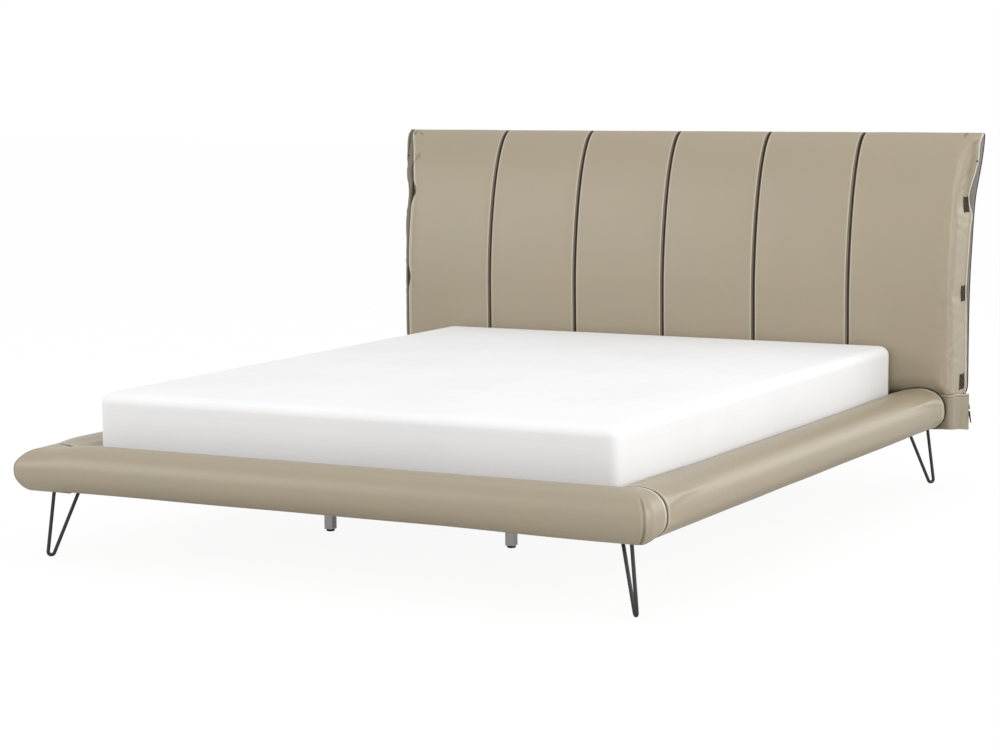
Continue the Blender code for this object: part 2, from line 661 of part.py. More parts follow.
def cushion_stations():
    """X stations across the cushion, each with how far its section is drawn in."""
    floor = CUSHION_CHANNEL_FLOOR / 2
    depth = CUSHION_CHANNEL_DEPTH
    rounding = CUSHION_HALF_WIDTH - CUSHION_SIDE_RADIUS
    stations = []
    edges = [-rounding, *seam_places(), rounding]
    for index, (start, end) in enumerate(zip(edges, edges[1:])):
        first = start if index == 0 else start + floor
        last = end if index == len(edges) - 2 else end - floor
        for share in PANEL_STATION_SHARES:
            across = 2.0 * share - 1.0
            at_side = (index == 0 and across < 0.0) or (index == len(edges) - 2 and across > 0.0)
            draw = 0.0 if at_side else depth * (1.0 - superellipse(across, PANEL_POWER_SHARE))
            stations.append((first + (last - first) * share, draw))
    ends = []
    for step in range(1, CORNER_STEPS + 1):
        turn = math.pi / 2 * step / CORNER_STEPS
        ends.append((rounding + CUSHION_SIDE_RADIUS * math.sin(turn),
                     CUSHION_SIDE_DRAW * (1.0 - math.cos(turn))))
    return [(-x, draw) for x, draw in reversed(ends)] + stations + ends


def build_cushion(leather, lace):
    """The channelled headboard cushion and the laced strips in its seams."""
    rings = [[(x, y, z) for y, z in cushion_section(draw)] for x, draw in cushion_stations()]
    add_object("headboard_cushion", mesh_from("headboard_cushion", loft_bmesh(rings)), leather)
    first = CORNER_STEPS
    last = first + len(BELLY_SHARES) + TOP_STEPS
    under = cushion_section(CUSHION_CHANNEL_DEPTH - GAP)[first:last + 1]
    over = cushion_section(CUSHION_CHANNEL_DEPTH - GAP - LACE_THICKNESS)[first:last + 1]
    for index, x in enumerate(seam_places()):
        name = f"seam_lace_{index + 1}"
        left, right = x - LACE_WIDTH / 2, x + LACE_WIDTH / 2
        rings = [[(left, *low), (right, *low), (right, *high), (left, *high)]
                 for low, high in zip(under, over)]
        add_object(name, mesh_from(name, loft_bmesh(rings)), lace)


def cover_edges():
    """Heights of the back cover from its hem up, each with its inner half width, flared at the top."""
    top = HEADBOARD_TOP - COVER_TOP_SETBACK
    start = top - EAR_HEIGHT
    narrow = CUSHION_HALF_WIDTH + GAP
    return [(SKIRT_HEM_HEIGHT, narrow)] + [(start + EAR_HEIGHT * share, narrow + EAR_FLARE * share ** 2)
                                           for share in EAR_SHARES]


def cover_half(height):
    """Inner half width of the back cover at a height."""
    edges = cover_edges()
    for (low, near), (high, far) in zip(edges, edges[1:]):
        if height <= high:
            return near + (far - near) * (height - low) / (high - low)
    return edges[-1][1]


def build_back_cover(leather):
    """The leather back sheet with its two side flanges."""
    rows = []
    for z, half in cover_edges():
        flange_y = COVER_Y - COVER_FLANGE
        rows.append([(half, flange_y, z), (half, COVER_Y, z), (-half, COVER_Y, z), (-half, flange_y, z)])
    sheet_object("back_cover", rows, COVER_THICKNESS, leather)


def build_structure(timber):
    """The board behind the cushion and the two posts that carry it."""
    half = CUSHION_HALF_WIDTH - PANEL_SIDE_SETBACK
    add_box("headboard_panel", (-half, PANEL_Y, PANEL_BOTTOM),
            (half, PANEL_Y + PANEL_THICKNESS, PANEL_TOP), timber)
    for side, sign in sides():
        near, far = sorted((sign * INNER_X, sign * (INNER_X + POST_WIDTH)))
        add_box("headboard_post_" + side, (near, POST_Y, ROLL_GROUND_CLEARANCE),
                (far, POST_BACK_Y, PANEL_TOP), timber)


def skirt_path():
    """Plan of the right skirt: along its front flap, round the corner and back along the side."""
    outer = CUSHION_HALF_WIDTH - GAP
    radius = SKIRT_CORNER_RADIUS
    turn_x = outer - radius
    turn_y = SKIRT_LINE_Y + radius
    back = POST_BACK_Y - SKIRT_THICKNESS
    start = outer - SKIRT_FRONT_FLAP
    flap = [(start + (turn_x - start) * step / FLAP_STEPS, SKIRT_LINE_Y) for step in range(FLAP_STEPS)]
    corner = arc((turn_x, turn_y), radius, -90.0, 0.0, CORNER_STEPS)
    run = [(outer, turn_y + (back - turn_y) * step / RUN_STEPS) for step in range(1, RUN_STEPS + 1)]
    return [*flap, *corner, *run]


def build_skirts(leather):
    """The loose skirt round each lower corner of the headboard, with folds that grow towards its hem."""
    path = skirt_path()
    top = CUSHION_BOTTOM - GAP
    for side, sign in sides():
        rows = []
        for share in SKIRT_DROP_SHARES:
            z = top + (SKIRT_HEM_HEIGHT - top) * share
            row = []
            for index, (x, y) in enumerate(path):
                turn = 2 * math.pi * SKIRT_FOLD_COUNT * index / (len(path) - 1)
                fold = SKIRT_FOLD_DEPTH * share * (1.0 - math.cos(turn))
                row.append((x, y + fold, z) if index < FLAP_STEPS else (x - fold, y, z))
            rows.append(row)
        if sign < 0:
            rows = [row[::-1] for row in mirror_rows(rows)]
        sheet_object("skirt_" + side, rows, SKIRT_THICKNESS, leather)


def build_ties(lace):
    """Three crossed laces on each side of the headboard."""
    length = math.hypot(TIE_LENGTH, TIE_SPREAD) - TIE_STRAP_WIDTH
    angle = math.atan2(TIE_LENGTH, TIE_SPREAD)
    seam_y = COVER_Y - COVER_FLANGE
    for side, sign in sides():
        for index, height in enumerate(TIE_HEIGHTS):
            name = f"side_tie_{side}_{index + 1}"
            x = sign * (cover_half(height + TIE_LENGTH / 2) + COVER_THICKNESS + GAP + TIE_THICKNESS / 2)
            straps = []
            for strap_name, turn in ((name, angle), (name + "_cross", -angle)):
                mesh = mesh_from(strap_name, box_bmesh((TIE_THICKNESS, length, TIE_STRAP_WIDTH)))
                strap = add_object(strap_name, mesh, lace, (x, seam_y, height))
                strap.rotation_euler = (turn, 0.0, 0.0)
                straps.append(strap)
            apply_boolean(straps[0], straps[1], "UNION")


# Mattress


def mattress_ring(inset, height):
    """Rounded rectangle of the mattress in plan, drawn in by inset, at a height."""
    half = MATTRESS_WIDTH / 2 - inset
    length = MATTRESS_LENGTH / 2 - inset
    middle = (MATTRESS_FRONT_Y + MATTRESS_BACK_Y) / 2
    radius = max(MATTRESS_EDGE_RADIUS, MATTRESS_CORNER_RADIUS - inset)
    points = []
    for index, (x, y) in enumerate(CORNER_SIGNS):
        points += arc((x * (half - radius), middle + y * (length - radius)), radius,
                      90.0 * index, 90.0 * (index + 1), CORNER_STEPS)
    return [(x, y, height) for x, y in points]


def build_mattress(fabric):
    """The loose mattress: drawn-in sides, soft edges and a crowned top."""
    edge = MATTRESS_EDGE_RADIUS
    top = MATTRESS_BASE + MATTRESS_THICKNESS
    rings = []
    for x, z in arc((0.0, MATTRESS_BASE + edge), edge, -90.0, 0.0, CORNER_STEPS):
        rings.append(mattress_ring(edge - x, z))
    side = MATTRESS_THICKNESS - 2 * edge
    for share in MATTRESS_SIDE_SHARES:
        draw = MATTRESS_WAIST * (1.0 - (2.0 * share - 1.0) ** 2)
        rings.append(mattress_ring(draw, MATTRESS_BASE + edge + side * share))
    for x, z in arc((0.0, top - edge), edge, 0.0, 90.0, CORNER_STEPS):
        rings.append(mattress_ring(edge - x, z))
    reach = MATTRESS_WIDTH / 2 - 2 * edge
    for share in MATTRESS_TOP_SHARES:
        rise = MATTRESS_CROWN * (1.0 - (1.0 - share) ** 2)
        rings.append(mattress_ring(edge + reach * share, top + rise))
    mattress = add_object("mattress", mesh_from("mattress", loft_bmesh(rings)), fabric)
    mattress.data.shade_smooth()


def main():
    """Build the whole bed."""
    clear_scene()
    leather = make_material("taupe_leather", (0.38, 0.33, 0.25), 0.45)
    lace = make_material("brown_lace", (0.10, 0.075, 0.05), 0.7)
    timber = make_material("timber", (0.55, 0.40, 0.24), 0.6)
    birch = make_material("birch", (0.72, 0.56, 0.36), 0.5)
    steel = make_material("grey_steel", (0.52, 0.52, 0.53), 0.4, 0.8)
    black = make_material("black_steel", (0.03, 0.03, 0.03), 0.45, 0.6)
    plastic = make_material("black_plastic", (0.02, 0.02, 0.02), 0.5)
    fabric = make_material("white_fabric", (0.86, 0.86, 0.86), 0.9)
    build_rolls(leather)
    build_timber(timber)
    build_slats(birch)
    build_ledges(steel)
    build_supports(steel, plastic)
    build_brackets(steel)
    build_legs(black)
    build_cushion(leather, lace)
    build_back_cover(leather)
    build_structure(timber)
    build_skirts(leather)
    build_ties(lace)
    build_mattress(fabric)


main()
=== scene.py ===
"""Looks of the faux leather bed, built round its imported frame: upholstery, laces, mattress and hardware.

Run it as a script in Blender 4.5. All lengths are in metres, in the frame's own axes.
"""
import math
from functools import partial

import bmesh
import bpy
import numpy as np
from mathutils import Matrix, Vector
from mathutils.bvhtree import BVHTree


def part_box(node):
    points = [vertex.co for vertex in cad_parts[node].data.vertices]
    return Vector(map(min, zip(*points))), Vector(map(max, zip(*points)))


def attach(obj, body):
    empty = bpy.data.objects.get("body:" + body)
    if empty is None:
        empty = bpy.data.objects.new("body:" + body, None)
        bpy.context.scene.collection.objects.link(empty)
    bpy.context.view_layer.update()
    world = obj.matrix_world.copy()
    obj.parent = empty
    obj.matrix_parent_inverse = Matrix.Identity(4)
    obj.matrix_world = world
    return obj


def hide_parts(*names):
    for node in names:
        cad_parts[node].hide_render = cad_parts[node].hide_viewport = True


bl_info = {
    "name": "Faux Leather Bed",
    "version": (1, 0, 0),
    "blender": (4, 5, 0),
    "location": "3D View > Sidebar > Bed",
    "description": "Dresses the frame of a padded faux leather bed",
    "category": "Add Mesh",
}

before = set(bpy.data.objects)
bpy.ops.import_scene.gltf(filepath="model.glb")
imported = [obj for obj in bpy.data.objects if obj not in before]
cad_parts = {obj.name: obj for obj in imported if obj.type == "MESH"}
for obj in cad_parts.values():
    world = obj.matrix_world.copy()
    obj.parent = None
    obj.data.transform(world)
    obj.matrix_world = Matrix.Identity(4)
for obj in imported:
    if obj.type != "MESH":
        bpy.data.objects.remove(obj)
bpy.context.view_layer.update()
FRAME_BODY = "bed_frame"
SIDES = (("left", -1.0), ("right", 1.0))
ENDS = (("front", 1.0), ("rear", -1.0))
WELD = 0.00001
TINY = 1e-12

# Places that the frame gives
CUSHION_LOW, CUSHION_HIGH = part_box("headboard_cushion")
COVER_LOW, COVER_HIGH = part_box("back_cover")
ROLL_LOW, ROLL_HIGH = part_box("foot_bolster")
SIDE_LOW, SIDE_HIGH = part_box("side_bolster_right")
BEAM_LOW, BEAM_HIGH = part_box("side_beam_right")
FOOT_BEAM_LOW, FOOT_BEAM_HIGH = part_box("foot_beam")
MATTRESS_LOW, MATTRESS_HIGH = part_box("mattress")
SEAM_X = [sum(corner.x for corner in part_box(f"seam_lace_{index}")) / 2 for index in range(1, 6)]

# Shape of the rolls, as the frame's solids have it
ROLL_FLATTENING = 0.008
ROLL_HALF_HEIGHT = (SIDE_HIGH.z - SIDE_LOW.z + ROLL_FLATTENING) / 2
ROLL_CENTRE_Z = SIDE_HIGH.z - ROLL_HALF_HEIGHT
ROLL_POWER = 2.3
ROLL_INNER_REACH = 0.052
ROLL_INNER_POWER = 1.5
ROLL_LIFT = 0.0055
END_BULGE = 0.0055
END_REACH = 0.0064
SIDE_RIDGE = 0.0835
FOOT_RIDGE = 0.080
ROLL_CORNER = 0.030
RIDGE_X = SIDE_HIGH.x - SIDE_RIDGE
RIDGE_Y = ROLL_LOW.y + FOOT_RIDGE
INNER_X = SIDE_LOW.x
# The foot roll's joints lie a little further forward than its solid's
LEFT_JOINT_LEAD = 0.003
RIGHT_JOINT_LEAD = 0.023
JOINTS = {-1.0: ROLL_HIGH.y - LEFT_JOINT_LEAD, 1.0: ROLL_HIGH.y - RIGHT_JOINT_LEAD}
# The filling of the left front corner is worn and has sunk
CORNER_TOP_POWER = 2.3
CORNER_LOW_POWER = 2.5
CORNER_REACH = 0.16
CORNER_DROP = 0.012

# Shape of the headboard, as the frame's solids have it
PAD_BELLY_Z = 0.600
PAD_LOWER_DRAW = 0.004
PAD_BOTTOM_RADIUS = 0.028
PAD_TOP_POWER = 1.75
PAD_TURN_RADIUS = 0.030
TIE_RISE = 0.005
TIE_COLUMNS = {"left": ((1.102, 1.139), (1.107, 1.144), (1.080, 1.114)),
               "right": ((1.102, 1.139), (1.107, 1.144), (1.113, 1.1475))}
TIE_HEIGHTS = [sum(corner.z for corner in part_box(f"side_tie_right_{index}")) / 2 + TIE_RISE
               for index in range(1, 4)]


# Settings that a user may change


class LeatherLook(bpy.types.PropertyGroup):
    """Colours and grain of the upholstery."""
    colour: bpy.props.FloatVectorProperty(
        name="Leather", description="Colour of the faux leather", subtype="COLOR", size=3,
        min=0.0, max=1.0, default=(0.328, 0.273, 0.184))
    # Also the colour of the highlights painted on lips, welts and folds.
    edge_colour: bpy.props.FloatVectorProperty(
        name="Rubbed edge and highlight", description="Colour of the leather where its folded edges are rubbed",
        subtype="COLOR", size=3, min=0.0, max=1.0, default=(0.76, 0.71, 0.62))
    lace_colour: bpy.props.FloatVectorProperty(
        name="Lace", description="Colour of the laces", subtype="COLOR", size=3,
        min=0.0, max=1.0, default=(0.042, 0.031, 0.020))
    lining_colour: bpy.props.FloatVectorProperty(
        name="Lining", description="Colour of the lining cloth inside the headboard", subtype="COLOR",
        size=3, min=0.0, max=1.0, default=(0.27, 0.25, 0.235))
    grain_size: bpy.props.FloatProperty(
        name="Grain size", description="Width of one pebble of the leather's grain", unit="LENGTH",
        min=0.0002, default=0.0016)


class MattressLook(bpy.types.PropertyGroup):
    """Colour and weave of the mattress."""
    colour: bpy.props.FloatVectorProperty(
        name="Cloth", description="Colour of the mattress cloth", subtype="COLOR", size=3,
        min=0.0, max=1.0, default=(0.90, 0.90, 0.91))
    thread: bpy.props.FloatProperty(
        name="Thread", description="Spacing of the woven threads", unit="LENGTH", min=0.0002, default=0.0016)


class FrameLook(bpy.types.PropertyGroup):
    """Colours of the wood and the metal."""
    timber: bpy.props.FloatVectorProperty(
        name="Timber", description="Colour of the beams and posts", subtype="COLOR", size=3,
        min=0.0, max=1.0, default=(0.50, 0.34, 0.19))
    birch: bpy.props.FloatVectorProperty(
        name="Birch", description="Colour of the slats", subtype="COLOR", size=3,
        min=0.0, max=1.0, default=(0.68, 0.51, 0.32))
    steel: bpy.props.FloatVectorProperty(
        name="Grey steel", description="Colour of the painted support steel", subtype="COLOR", size=3,
        min=0.0, max=1.0, default=(0.72, 0.72, 0.72))
    black: bpy.props.FloatVectorProperty(
        name="Black steel", description="Colour of the painted hairpin legs", subtype="COLOR", size=3,
        min=0.0, max=1.0, default=(0.022, 0.022, 0.022))


class StageLook(bpy.types.PropertyGroup):
    """Light of the studio."""
    surround: bpy.props.FloatProperty(
        name="Surround", description="Strength of the even light from all sides", min=0.0, default=0.82)
    key: bpy.props.FloatProperty(
        name="Key", description="Power of the soft box on the right", unit="POWER", min=0.0, default=102.0)
    fill: bpy.props.FloatProperty(
        name="Fill", description="Power of the soft box on the left", unit="POWER", min=0.0, default=70.0)
    overhead: bpy.props.FloatProperty(
        name="Overhead", description="Power of the soft box overhead", unit="POWER", min=0.0, default=18.0)
    rim: bpy.props.FloatProperty(
        name="Rim", description="Power of the soft box behind on the right", unit="POWER", min=0.0,
        default=54.0)


# Node trees


class Graph:
    """Adds nodes to a tree, each linked to what it reads."""

    def __init__(self, tree):
        self.tree = tree
        tree.nodes.clear()

    def node(self, kind, inputs=None, **settings):
        """A shader node; a value of inputs is a number, a colour or an output to link."""
        made = self.tree.nodes.new("ShaderNode" + kind)
        for key, value in settings.items():
            setattr(made, key, value)
        for key, value in (inputs or {}).items():
            if isinstance(value, bpy.types.NodeSocket):
                self.tree.links.new(value, made.inputs[key])
            else:
                made.inputs[key].default_value = value
        return made

    def math(self, operation, first, second=0.0):
        """A Math node's output."""
        return self.node("Math", {0: first, 1: second}, operation=operation).outputs[0]

    def cells(self, vector, size):
        """A place counted in cells of a size."""
        inverse = self.math("DIVIDE", 1.0, size)
        return self.node("VectorMath", {0: vector, "Scale": inverse}, operation="SCALE").outputs[0]

    def noise(self, vector, scale, detail=2.0, output=0, **more):
        """A Noise Texture's output."""
        inputs = {"Vector": vector, "Scale": scale, "Detail": detail, **more}
        return self.node("TexNoise", inputs).outputs[output]

    def place(self):
        """The place on the piece, in metres."""
        return self.node("TexCoord").outputs["Object"]

    def attribute(self, name):
        """A number stored for each point."""
        return self.node("Attribute", attribute_name=name).outputs["Fac"]

    def mapped(self, value, low, high, new_low=0.0, new_high=1.0):
        """A value moved from one range to another with a smooth ramp."""
        return self.node("MapRange", {0: value, 1: low, 2: high, 3: new_low, 4: new_high},
                         interpolation_type="SMOOTHSTEP").outputs[0]

    def mixed(self, factor, first, second):
        """Two colours mixed."""
        made = self.node("Mix", data_type="RGBA", clamp_factor=True)
        for index, value in ((0, factor), (6, first), (7, second)):
            if isinstance(value, bpy.types.NodeSocket):
                self.tree.links.new(value, made.inputs[index])
            else:
                made.inputs[index].default_value = value
        return made.outputs[2]

    def group(self, name, **inputs):
        """One of the shared effects."""
        return self.node("Group", {key.replace("_", " "): value for key, value in inputs.items()},
                         node_tree=bpy.data.node_groups[name])


def effect(name, inputs, outputs):
    """An empty node group with its sockets; gives its graph and its inner input node."""
    tree = bpy.data.node_groups.new(name, "ShaderNodeTree")
    graph = Graph(tree)
    for label, kind, value in inputs:
        socket = tree.interface.new_socket(label, in_out="INPUT", socket_type="NodeSocket" + kind)
        if value is not None:
            socket.default_value = value
    for label, kind in outputs:
        tree.interface.new_socket(label, in_out="OUTPUT", socket_type="NodeSocket" + kind)
    return graph, tree.nodes.new("NodeGroupInput")


def finish_effect(graph, **results):
    """Link a group's results to its output node."""
    end = graph.tree.nodes.new("NodeGroupOutput")
    for label, value in results.items():
        graph.tree.links.new(value, end.inputs[label])


def make_leather_grain():
    """Pebbled leather grain: its relief, the creases between pebbles and a slow change of tone."""
    graph, given = effect("leather_grain", [("Vector", "Vector", None), ("Size", "Float", 0.0015)],
                          [("Height", "Float"), ("Crease", "Float"), ("Tone", "Float")])
    cells = graph.cells(given.outputs["Vector"], given.outputs["Size"])
    bend = graph.noise(cells, 0.35, 1.0, "Color")
    bent = graph.node("VectorMath", {0: cells, 1: bend}, operation="ADD").outputs[0]
    edge = graph.node("TexVoronoi", {"Vector": bent, "Scale": 1.0}, feature="DISTANCE_TO_EDGE").outputs[0]
    pebble = graph.mapped(edge, 0.0, 0.22)
    fine = graph.noise(cells, 1.7)
    slow = graph.noise(given.outputs["Vector"], 7.0)
    height = graph.math("ADD", graph.math("MULTIPLY", pebble, 0.65), graph.math("MULTIPLY", fine, 0.35))
    finish_effect(graph, Height=height, Crease=graph.math("SUBTRACT", 1.0, pebble), Tone=slow)


def make_woven_cloth():
    """Plain weave: its relief and the gaps between threads."""
    graph, given = effect("woven_cloth", [("Vector", "Vector", None), ("Thread", "Float", 0.001)],
                          [("Height", "Float"), ("Gap", "Float"), ("Tone", "Float")])
    turn = graph.math("DIVIDE", math.pi, given.outputs["Thread"])
    axes = graph.node("SeparateXYZ", {0: given.outputs["Vector"]})
    waves = []
    for index in range(3):
        phase = graph.math("MULTIPLY", axes.outputs[index], turn)
        waves.append(graph.math("ABSOLUTE", graph.math("SINE", phase)))
    height = graph.math("MULTIPLY", graph.math("ADD", graph.math("ADD", waves[0], waves[1]), waves[2]), 1 / 3)
    gap = graph.mapped(height, 0.25, 0.5, 1.0, 0.0)
    finish_effect(graph, Height=height, Gap=gap, Tone=graph.noise(given.outputs["Vector"], 3.0, 3.0))


def make_wood_grain():
    """Wood grain along X: bands of the year rings and fine pores."""
    graph, given = effect("wood_grain", [("Vector", "Vector", None), ("Ring", "Float", 0.01)],
                          [("Band", "Float"), ("Pore", "Float")])
    drawn = graph.node("Mapping", {"Vector": given.outputs["Vector"], "Scale": (0.06, 1.0, 1.0)}).outputs[0]
    cells = graph.cells(drawn, given.outputs["Ring"])
    wander = graph.noise(cells, 0.5, Distortion=1.2)
    rings = graph.math("SINE", graph.math("MULTIPLY", wander, 22.0))
    pores = graph.noise(cells, 9.0)
    finish_effect(graph, Band=graph.mapped(rings, -1.0, 1.0), Pore=graph.mapped(pores, 0.45, 0.7))


def make_paint_texture():
    """Fine orange peel of powder paint and faint scuffs."""
    graph, given = effect("paint_texture", [("Vector", "Vector", None), ("Size", "Float", 0.001)],
                          [("Height", "Float"), ("Scuff", "Float")])
    peel = graph.noise(graph.cells(given.outputs["Vector"], given.outputs["Size"]), 1.0)
    marks = graph.noise(given.outputs["Vector"], 60.0, 4.0)
    finish_effect(graph, Height=peel, Scuff=graph.mapped(marks, 0.6, 0.75))


def make_twisted_thread():
    """Slanted strands of a twisted or braided cord, along the V of its map."""
    graph, given = effect("twisted_thread", [("Vector", "Vector", None), ("Turns", "Float", 20.0)],
                          [("Height", "Float"), ("Gap", "Float")])
    axes = graph.node("SeparateXYZ", {0: given.outputs["Vector"]})
    along = graph.math("MULTIPLY", axes.outputs[1], given.outputs["Turns"])
    phase = graph.math("MULTIPLY", graph.math("ADD", along, axes.outputs[0]), 2 * math.pi)
    strand = graph.math("ABSOLUTE", graph.math("SINE", phase))
    finish_effect(graph, Height=strand, Gap=graph.mapped(strand, 0.1, 0.5, 1.0, 0.0))


def make_effects():
    """Build every shared effect once."""
    for name, build in (("leather_grain", make_leather_grain), ("woven_cloth", make_woven_cloth),
                        ("wood_grain", make_wood_grain), ("paint_texture", make_paint_texture),
                        ("twisted_thread", make_twisted_thread)):
        if name not in bpy.data.node_groups:
            build()


# Materials


def new_material(name):
    """An empty node material; gives the material, its graph and its output node."""
    made = bpy.data.materials.new(name)
    made.use_nodes = True
    graph = Graph(made.node_tree)
    return made, graph, made.node_tree.nodes.new("ShaderNodeOutputMaterial")


def finish_material(made, graph, output, shader):
    """Link the shader to the output."""
    graph.tree.links.new(shader.outputs[0], output.inputs["Surface"])
    return made


def principled(graph, colour, roughness, height, relief, **more):
    """The surface of a piece; relief gives the strength and the depth of its bumps."""
    bump = graph.node("Bump", {"Height": height, "Strength": relief[0], "Distance": relief[1]})
    inputs = {"Base Color": colour, "Roughness": roughness, "Normal": bump.outputs[0]}
    inputs.update({key.replace("_", " "): value for key, value in more.items()})
    return graph.node("BsdfPrincipled", inputs)


def opaque(colour):
    """A colour with its alpha."""
    return (*colour, 1.0)


def tinted(colour, tint):
    """A colour times a number or a tint, with its alpha."""
    tints = tint if isinstance(tint, tuple) else (tint,) * 3
    return opaque([part * share for part, share in zip(colour, tints)])


def toned(graph, factor, share, first, second):
    """Two colours mixed by a mask times a share."""
    return graph.mixed(graph.math("MULTIPLY", factor, share), first, second)


def leather_material(name):
    """Faux leather: pebble grain, a slow change of tone, shade painted into its seams, creases and hollows,
    and light rubbed edges with highlights painted on their ridges.

    Two point attributes say where painted shade darkens it and where a rubbed edge or a painted highlight
    lightens it.
    """
    look = bpy.context.scene.bed_leather
    roughness, warm_tint, shade_tint = 0.38, (1.035, 1.02, 0.985), (0.18, 0.165, 0.12)
    made, graph, output = new_material(name)
    grain = graph.group("leather_grain", Vector=graph.place(), Size=look.grain_size)
    slow = graph.mapped(grain.outputs["Tone"], 0.3, 0.7)
    warm = graph.mixed(slow, opaque(look.colour), tinted(look.colour, warm_tint))
    creased = toned(graph, grain.outputs["Crease"], 0.28, warm, tinted(look.colour, 0.80))
    # The attribute read here paints shade: seams, creases, hollows and shaded sides go towards a dark olive.
    seam = graph.attribute("crease")
    shaded_leather = graph.mixed(seam, creased, tinted(look.colour, shade_tint))
    # The second attribute lightens rubbed edges and paints highlights on lips, welts and folds.
    rubbed_and_highlit = graph.mixed(graph.attribute("rub"), shaded_leather, opaque(look.edge_colour))
    gloss = graph.mapped(grain.outputs["Crease"], 0.0, 1.0, roughness, roughness + 0.16)
    gloss = graph.math("ADD", gloss, graph.math("MULTIPLY", seam, 0.45))
    shader = principled(graph, rubbed_and_highlit, gloss, grain.outputs["Height"], (0.22, 0.0006),
                        Specular_IOR_Level=1.0, Coat_Weight=0.12, Coat_Roughness=0.30)
    return finish_material(made, graph, output, shader)


def cloth_material(name, colour, thread, roughness=0.9, depth=0.5, contrast=0.25):
    """Woven cloth in a plain colour."""
    made, graph, output = new_material(name)
    weave = graph.group("woven_cloth", Vector=graph.place(), Thread=thread)
    dark = tinted(colour, 0.72)
    woven = toned(graph, weave.outputs["Gap"], contrast, opaque(colour), dark)
    faded = graph.mixed(graph.mapped(weave.outputs["Tone"], 0.35, 0.7, 0.0, 0.10), woven, dark)
    # Painted shade where the point attribute asks for it.
    cloth_shaded = graph.mixed(graph.attribute("crease"), faded, tinted(colour, 0.55))
    shader = principled(graph, cloth_shaded, roughness, weave.outputs["Height"], (depth, 0.0004),
                        Specular_IOR_Level=0.25)
    return finish_material(made, graph, output, shader)


def lace_material(name, colour, turns):
    """Waxed flat or round lace with slanted strands."""
    made, graph, output = new_material(name)
    chart = graph.node("UVMap", uv_map="UVMap").outputs[0]
    strands = graph.group("twisted_thread", Vector=chart, Turns=turns)
    spots = graph.mapped(graph.noise(graph.place(), 180.0), 0.35, 0.7, 0.0, 0.6)
    spotted = graph.mixed(spots, opaque(colour), opaque([min(1.0, part * 1.9) for part in colour]))
    gapped = toned(graph, strands.outputs["Gap"], 0.7, spotted, tinted(colour, 0.35))
    shader = principled(graph, gapped, 0.72, strands.outputs["Height"], (0.6, 0.0006),
                        Specular_IOR_Level=0.18)
    return finish_material(made, graph, output, shader)


def wood_material(name, colour, ring, turn=0.0):
    """Planed wood with its grain along X, or along Y where it is turned."""
    made, graph, output = new_material(name)
    turned = graph.node("Mapping", {"Vector": graph.place(), "Rotation": (0.0, 0.0, turn)}).outputs[0]
    grain = graph.group("wood_grain", Vector=turned, Ring=ring)
    dark = tinted(colour, (0.74, 0.68, 0.60))
    banded = toned(graph, grain.outputs["Band"], 0.55, opaque(colour), dark)
    pored = toned(graph, grain.outputs["Pore"], 0.35, banded, dark)
    gloss = graph.mapped(grain.outputs["Band"], 0.0, 1.0, 0.48, 0.62)
    shader = principled(graph, pored, gloss, grain.outputs["Pore"], (0.25, 0.0004))
    return finish_material(made, graph, output, shader)


def painted_material(name, colour, metallic, roughness, size=0.0009, depth=0.15):
    """Painted, plated or moulded surface with a fine texture and faint scuffs."""
    made, graph, output = new_material(name)
    paint = graph.group("paint_texture", Vector=graph.place(), Size=size)
    worn = opaque([min(1.0, part * 1.35 + 0.01) for part in colour])
    scuffed = toned(graph, paint.outputs["Scuff"], 0.45, opaque(colour), worn)
    gloss = graph.mapped(paint.outputs["Height"], 0.3, 0.7, roughness - 0.05, roughness + 0.07)
    shader = principled(graph, scuffed, gloss, paint.outputs["Height"], (depth, 0.0003), Metallic=metallic)
    return finish_material(made, graph, output, shader)


def finishes():
    """What makes each material of the bed."""
    leather = bpy.context.scene.bed_leather
    wood = bpy.context.scene.bed_frame_look
    cloth = bpy.context.scene.bed_mattress
    # The seam floor's dark colour paints the shade at the bottom of each channel.
    seam_floor = tinted(leather.lace_colour, 0.45)[:3]
    timber = partial(wood_material, colour=wood.timber, ring=0.012)
    return {
        "taupe_leather_grain": leather_material,
        "dark_lining": partial(cloth_material, colour=leather.lining_colour, thread=0.0014, contrast=0.5),
        # Dark cloth for the back's bindings, which with the tuck's thin bead also paints shade lines.
        "dark_binding": partial(cloth_material, colour=(0.055, 0.045, 0.045), thread=0.0009, contrast=0.4),
        "rubbed_edge": partial(painted_material, colour=leather.edge_colour, metallic=0.0, roughness=0.55,
                               size=0.0012, depth=0.3),
        # Black felt for the tabs and the beams, and for the ring behind each side roll that paints its
        # contact shadow.
        "black_felt": partial(cloth_material, colour=(0.012, 0.012, 0.013), thread=0.0011, roughness=0.95,
                              contrast=0.3),
        "seam_lace": partial(lace_material, colour=leather.lace_colour, turns=3.0),
        "seam_floor": partial(cloth_material, colour=seam_floor, thread=0.0010),
        "mattress_cloth": partial(cloth_material, colour=cloth.colour, thread=cloth.thread, roughness=0.92,
                                  depth=0.25, contrast=0.12),
        "pine_timber": timber,
        "pine_timber_along": partial(timber, turn=math.pi / 2),
        "birch_slat": partial(wood_material, colour=wood.birch, ring=0.007),
        "grey_paint": partial(painted_material, colour=wood.steel, metallic=0.35, roughness=0.42),
        "black_paint": partial(painted_material, colour=wood.black, metallic=0.0, roughness=0.42),
        "black_plastic_mould": partial(painted_material, colour=(0.018, 0.018, 0.018), metallic=0.0,
                                       roughness=0.5, depth=0.25),
        "zinc": partial(painted_material, colour=(0.62, 0.62, 0.60), metallic=1.0, roughness=0.35),
        "black_metal": partial(painted_material, colour=(0.030, 0.028, 0.026), metallic=0.8, roughness=0.38),
    }


def material(name):
    """A material of the bed, made when it is first asked for."""
    if name not in bpy.data.materials:
        finishes()[name](name)
    return bpy.data.materials[name]


# Meshes


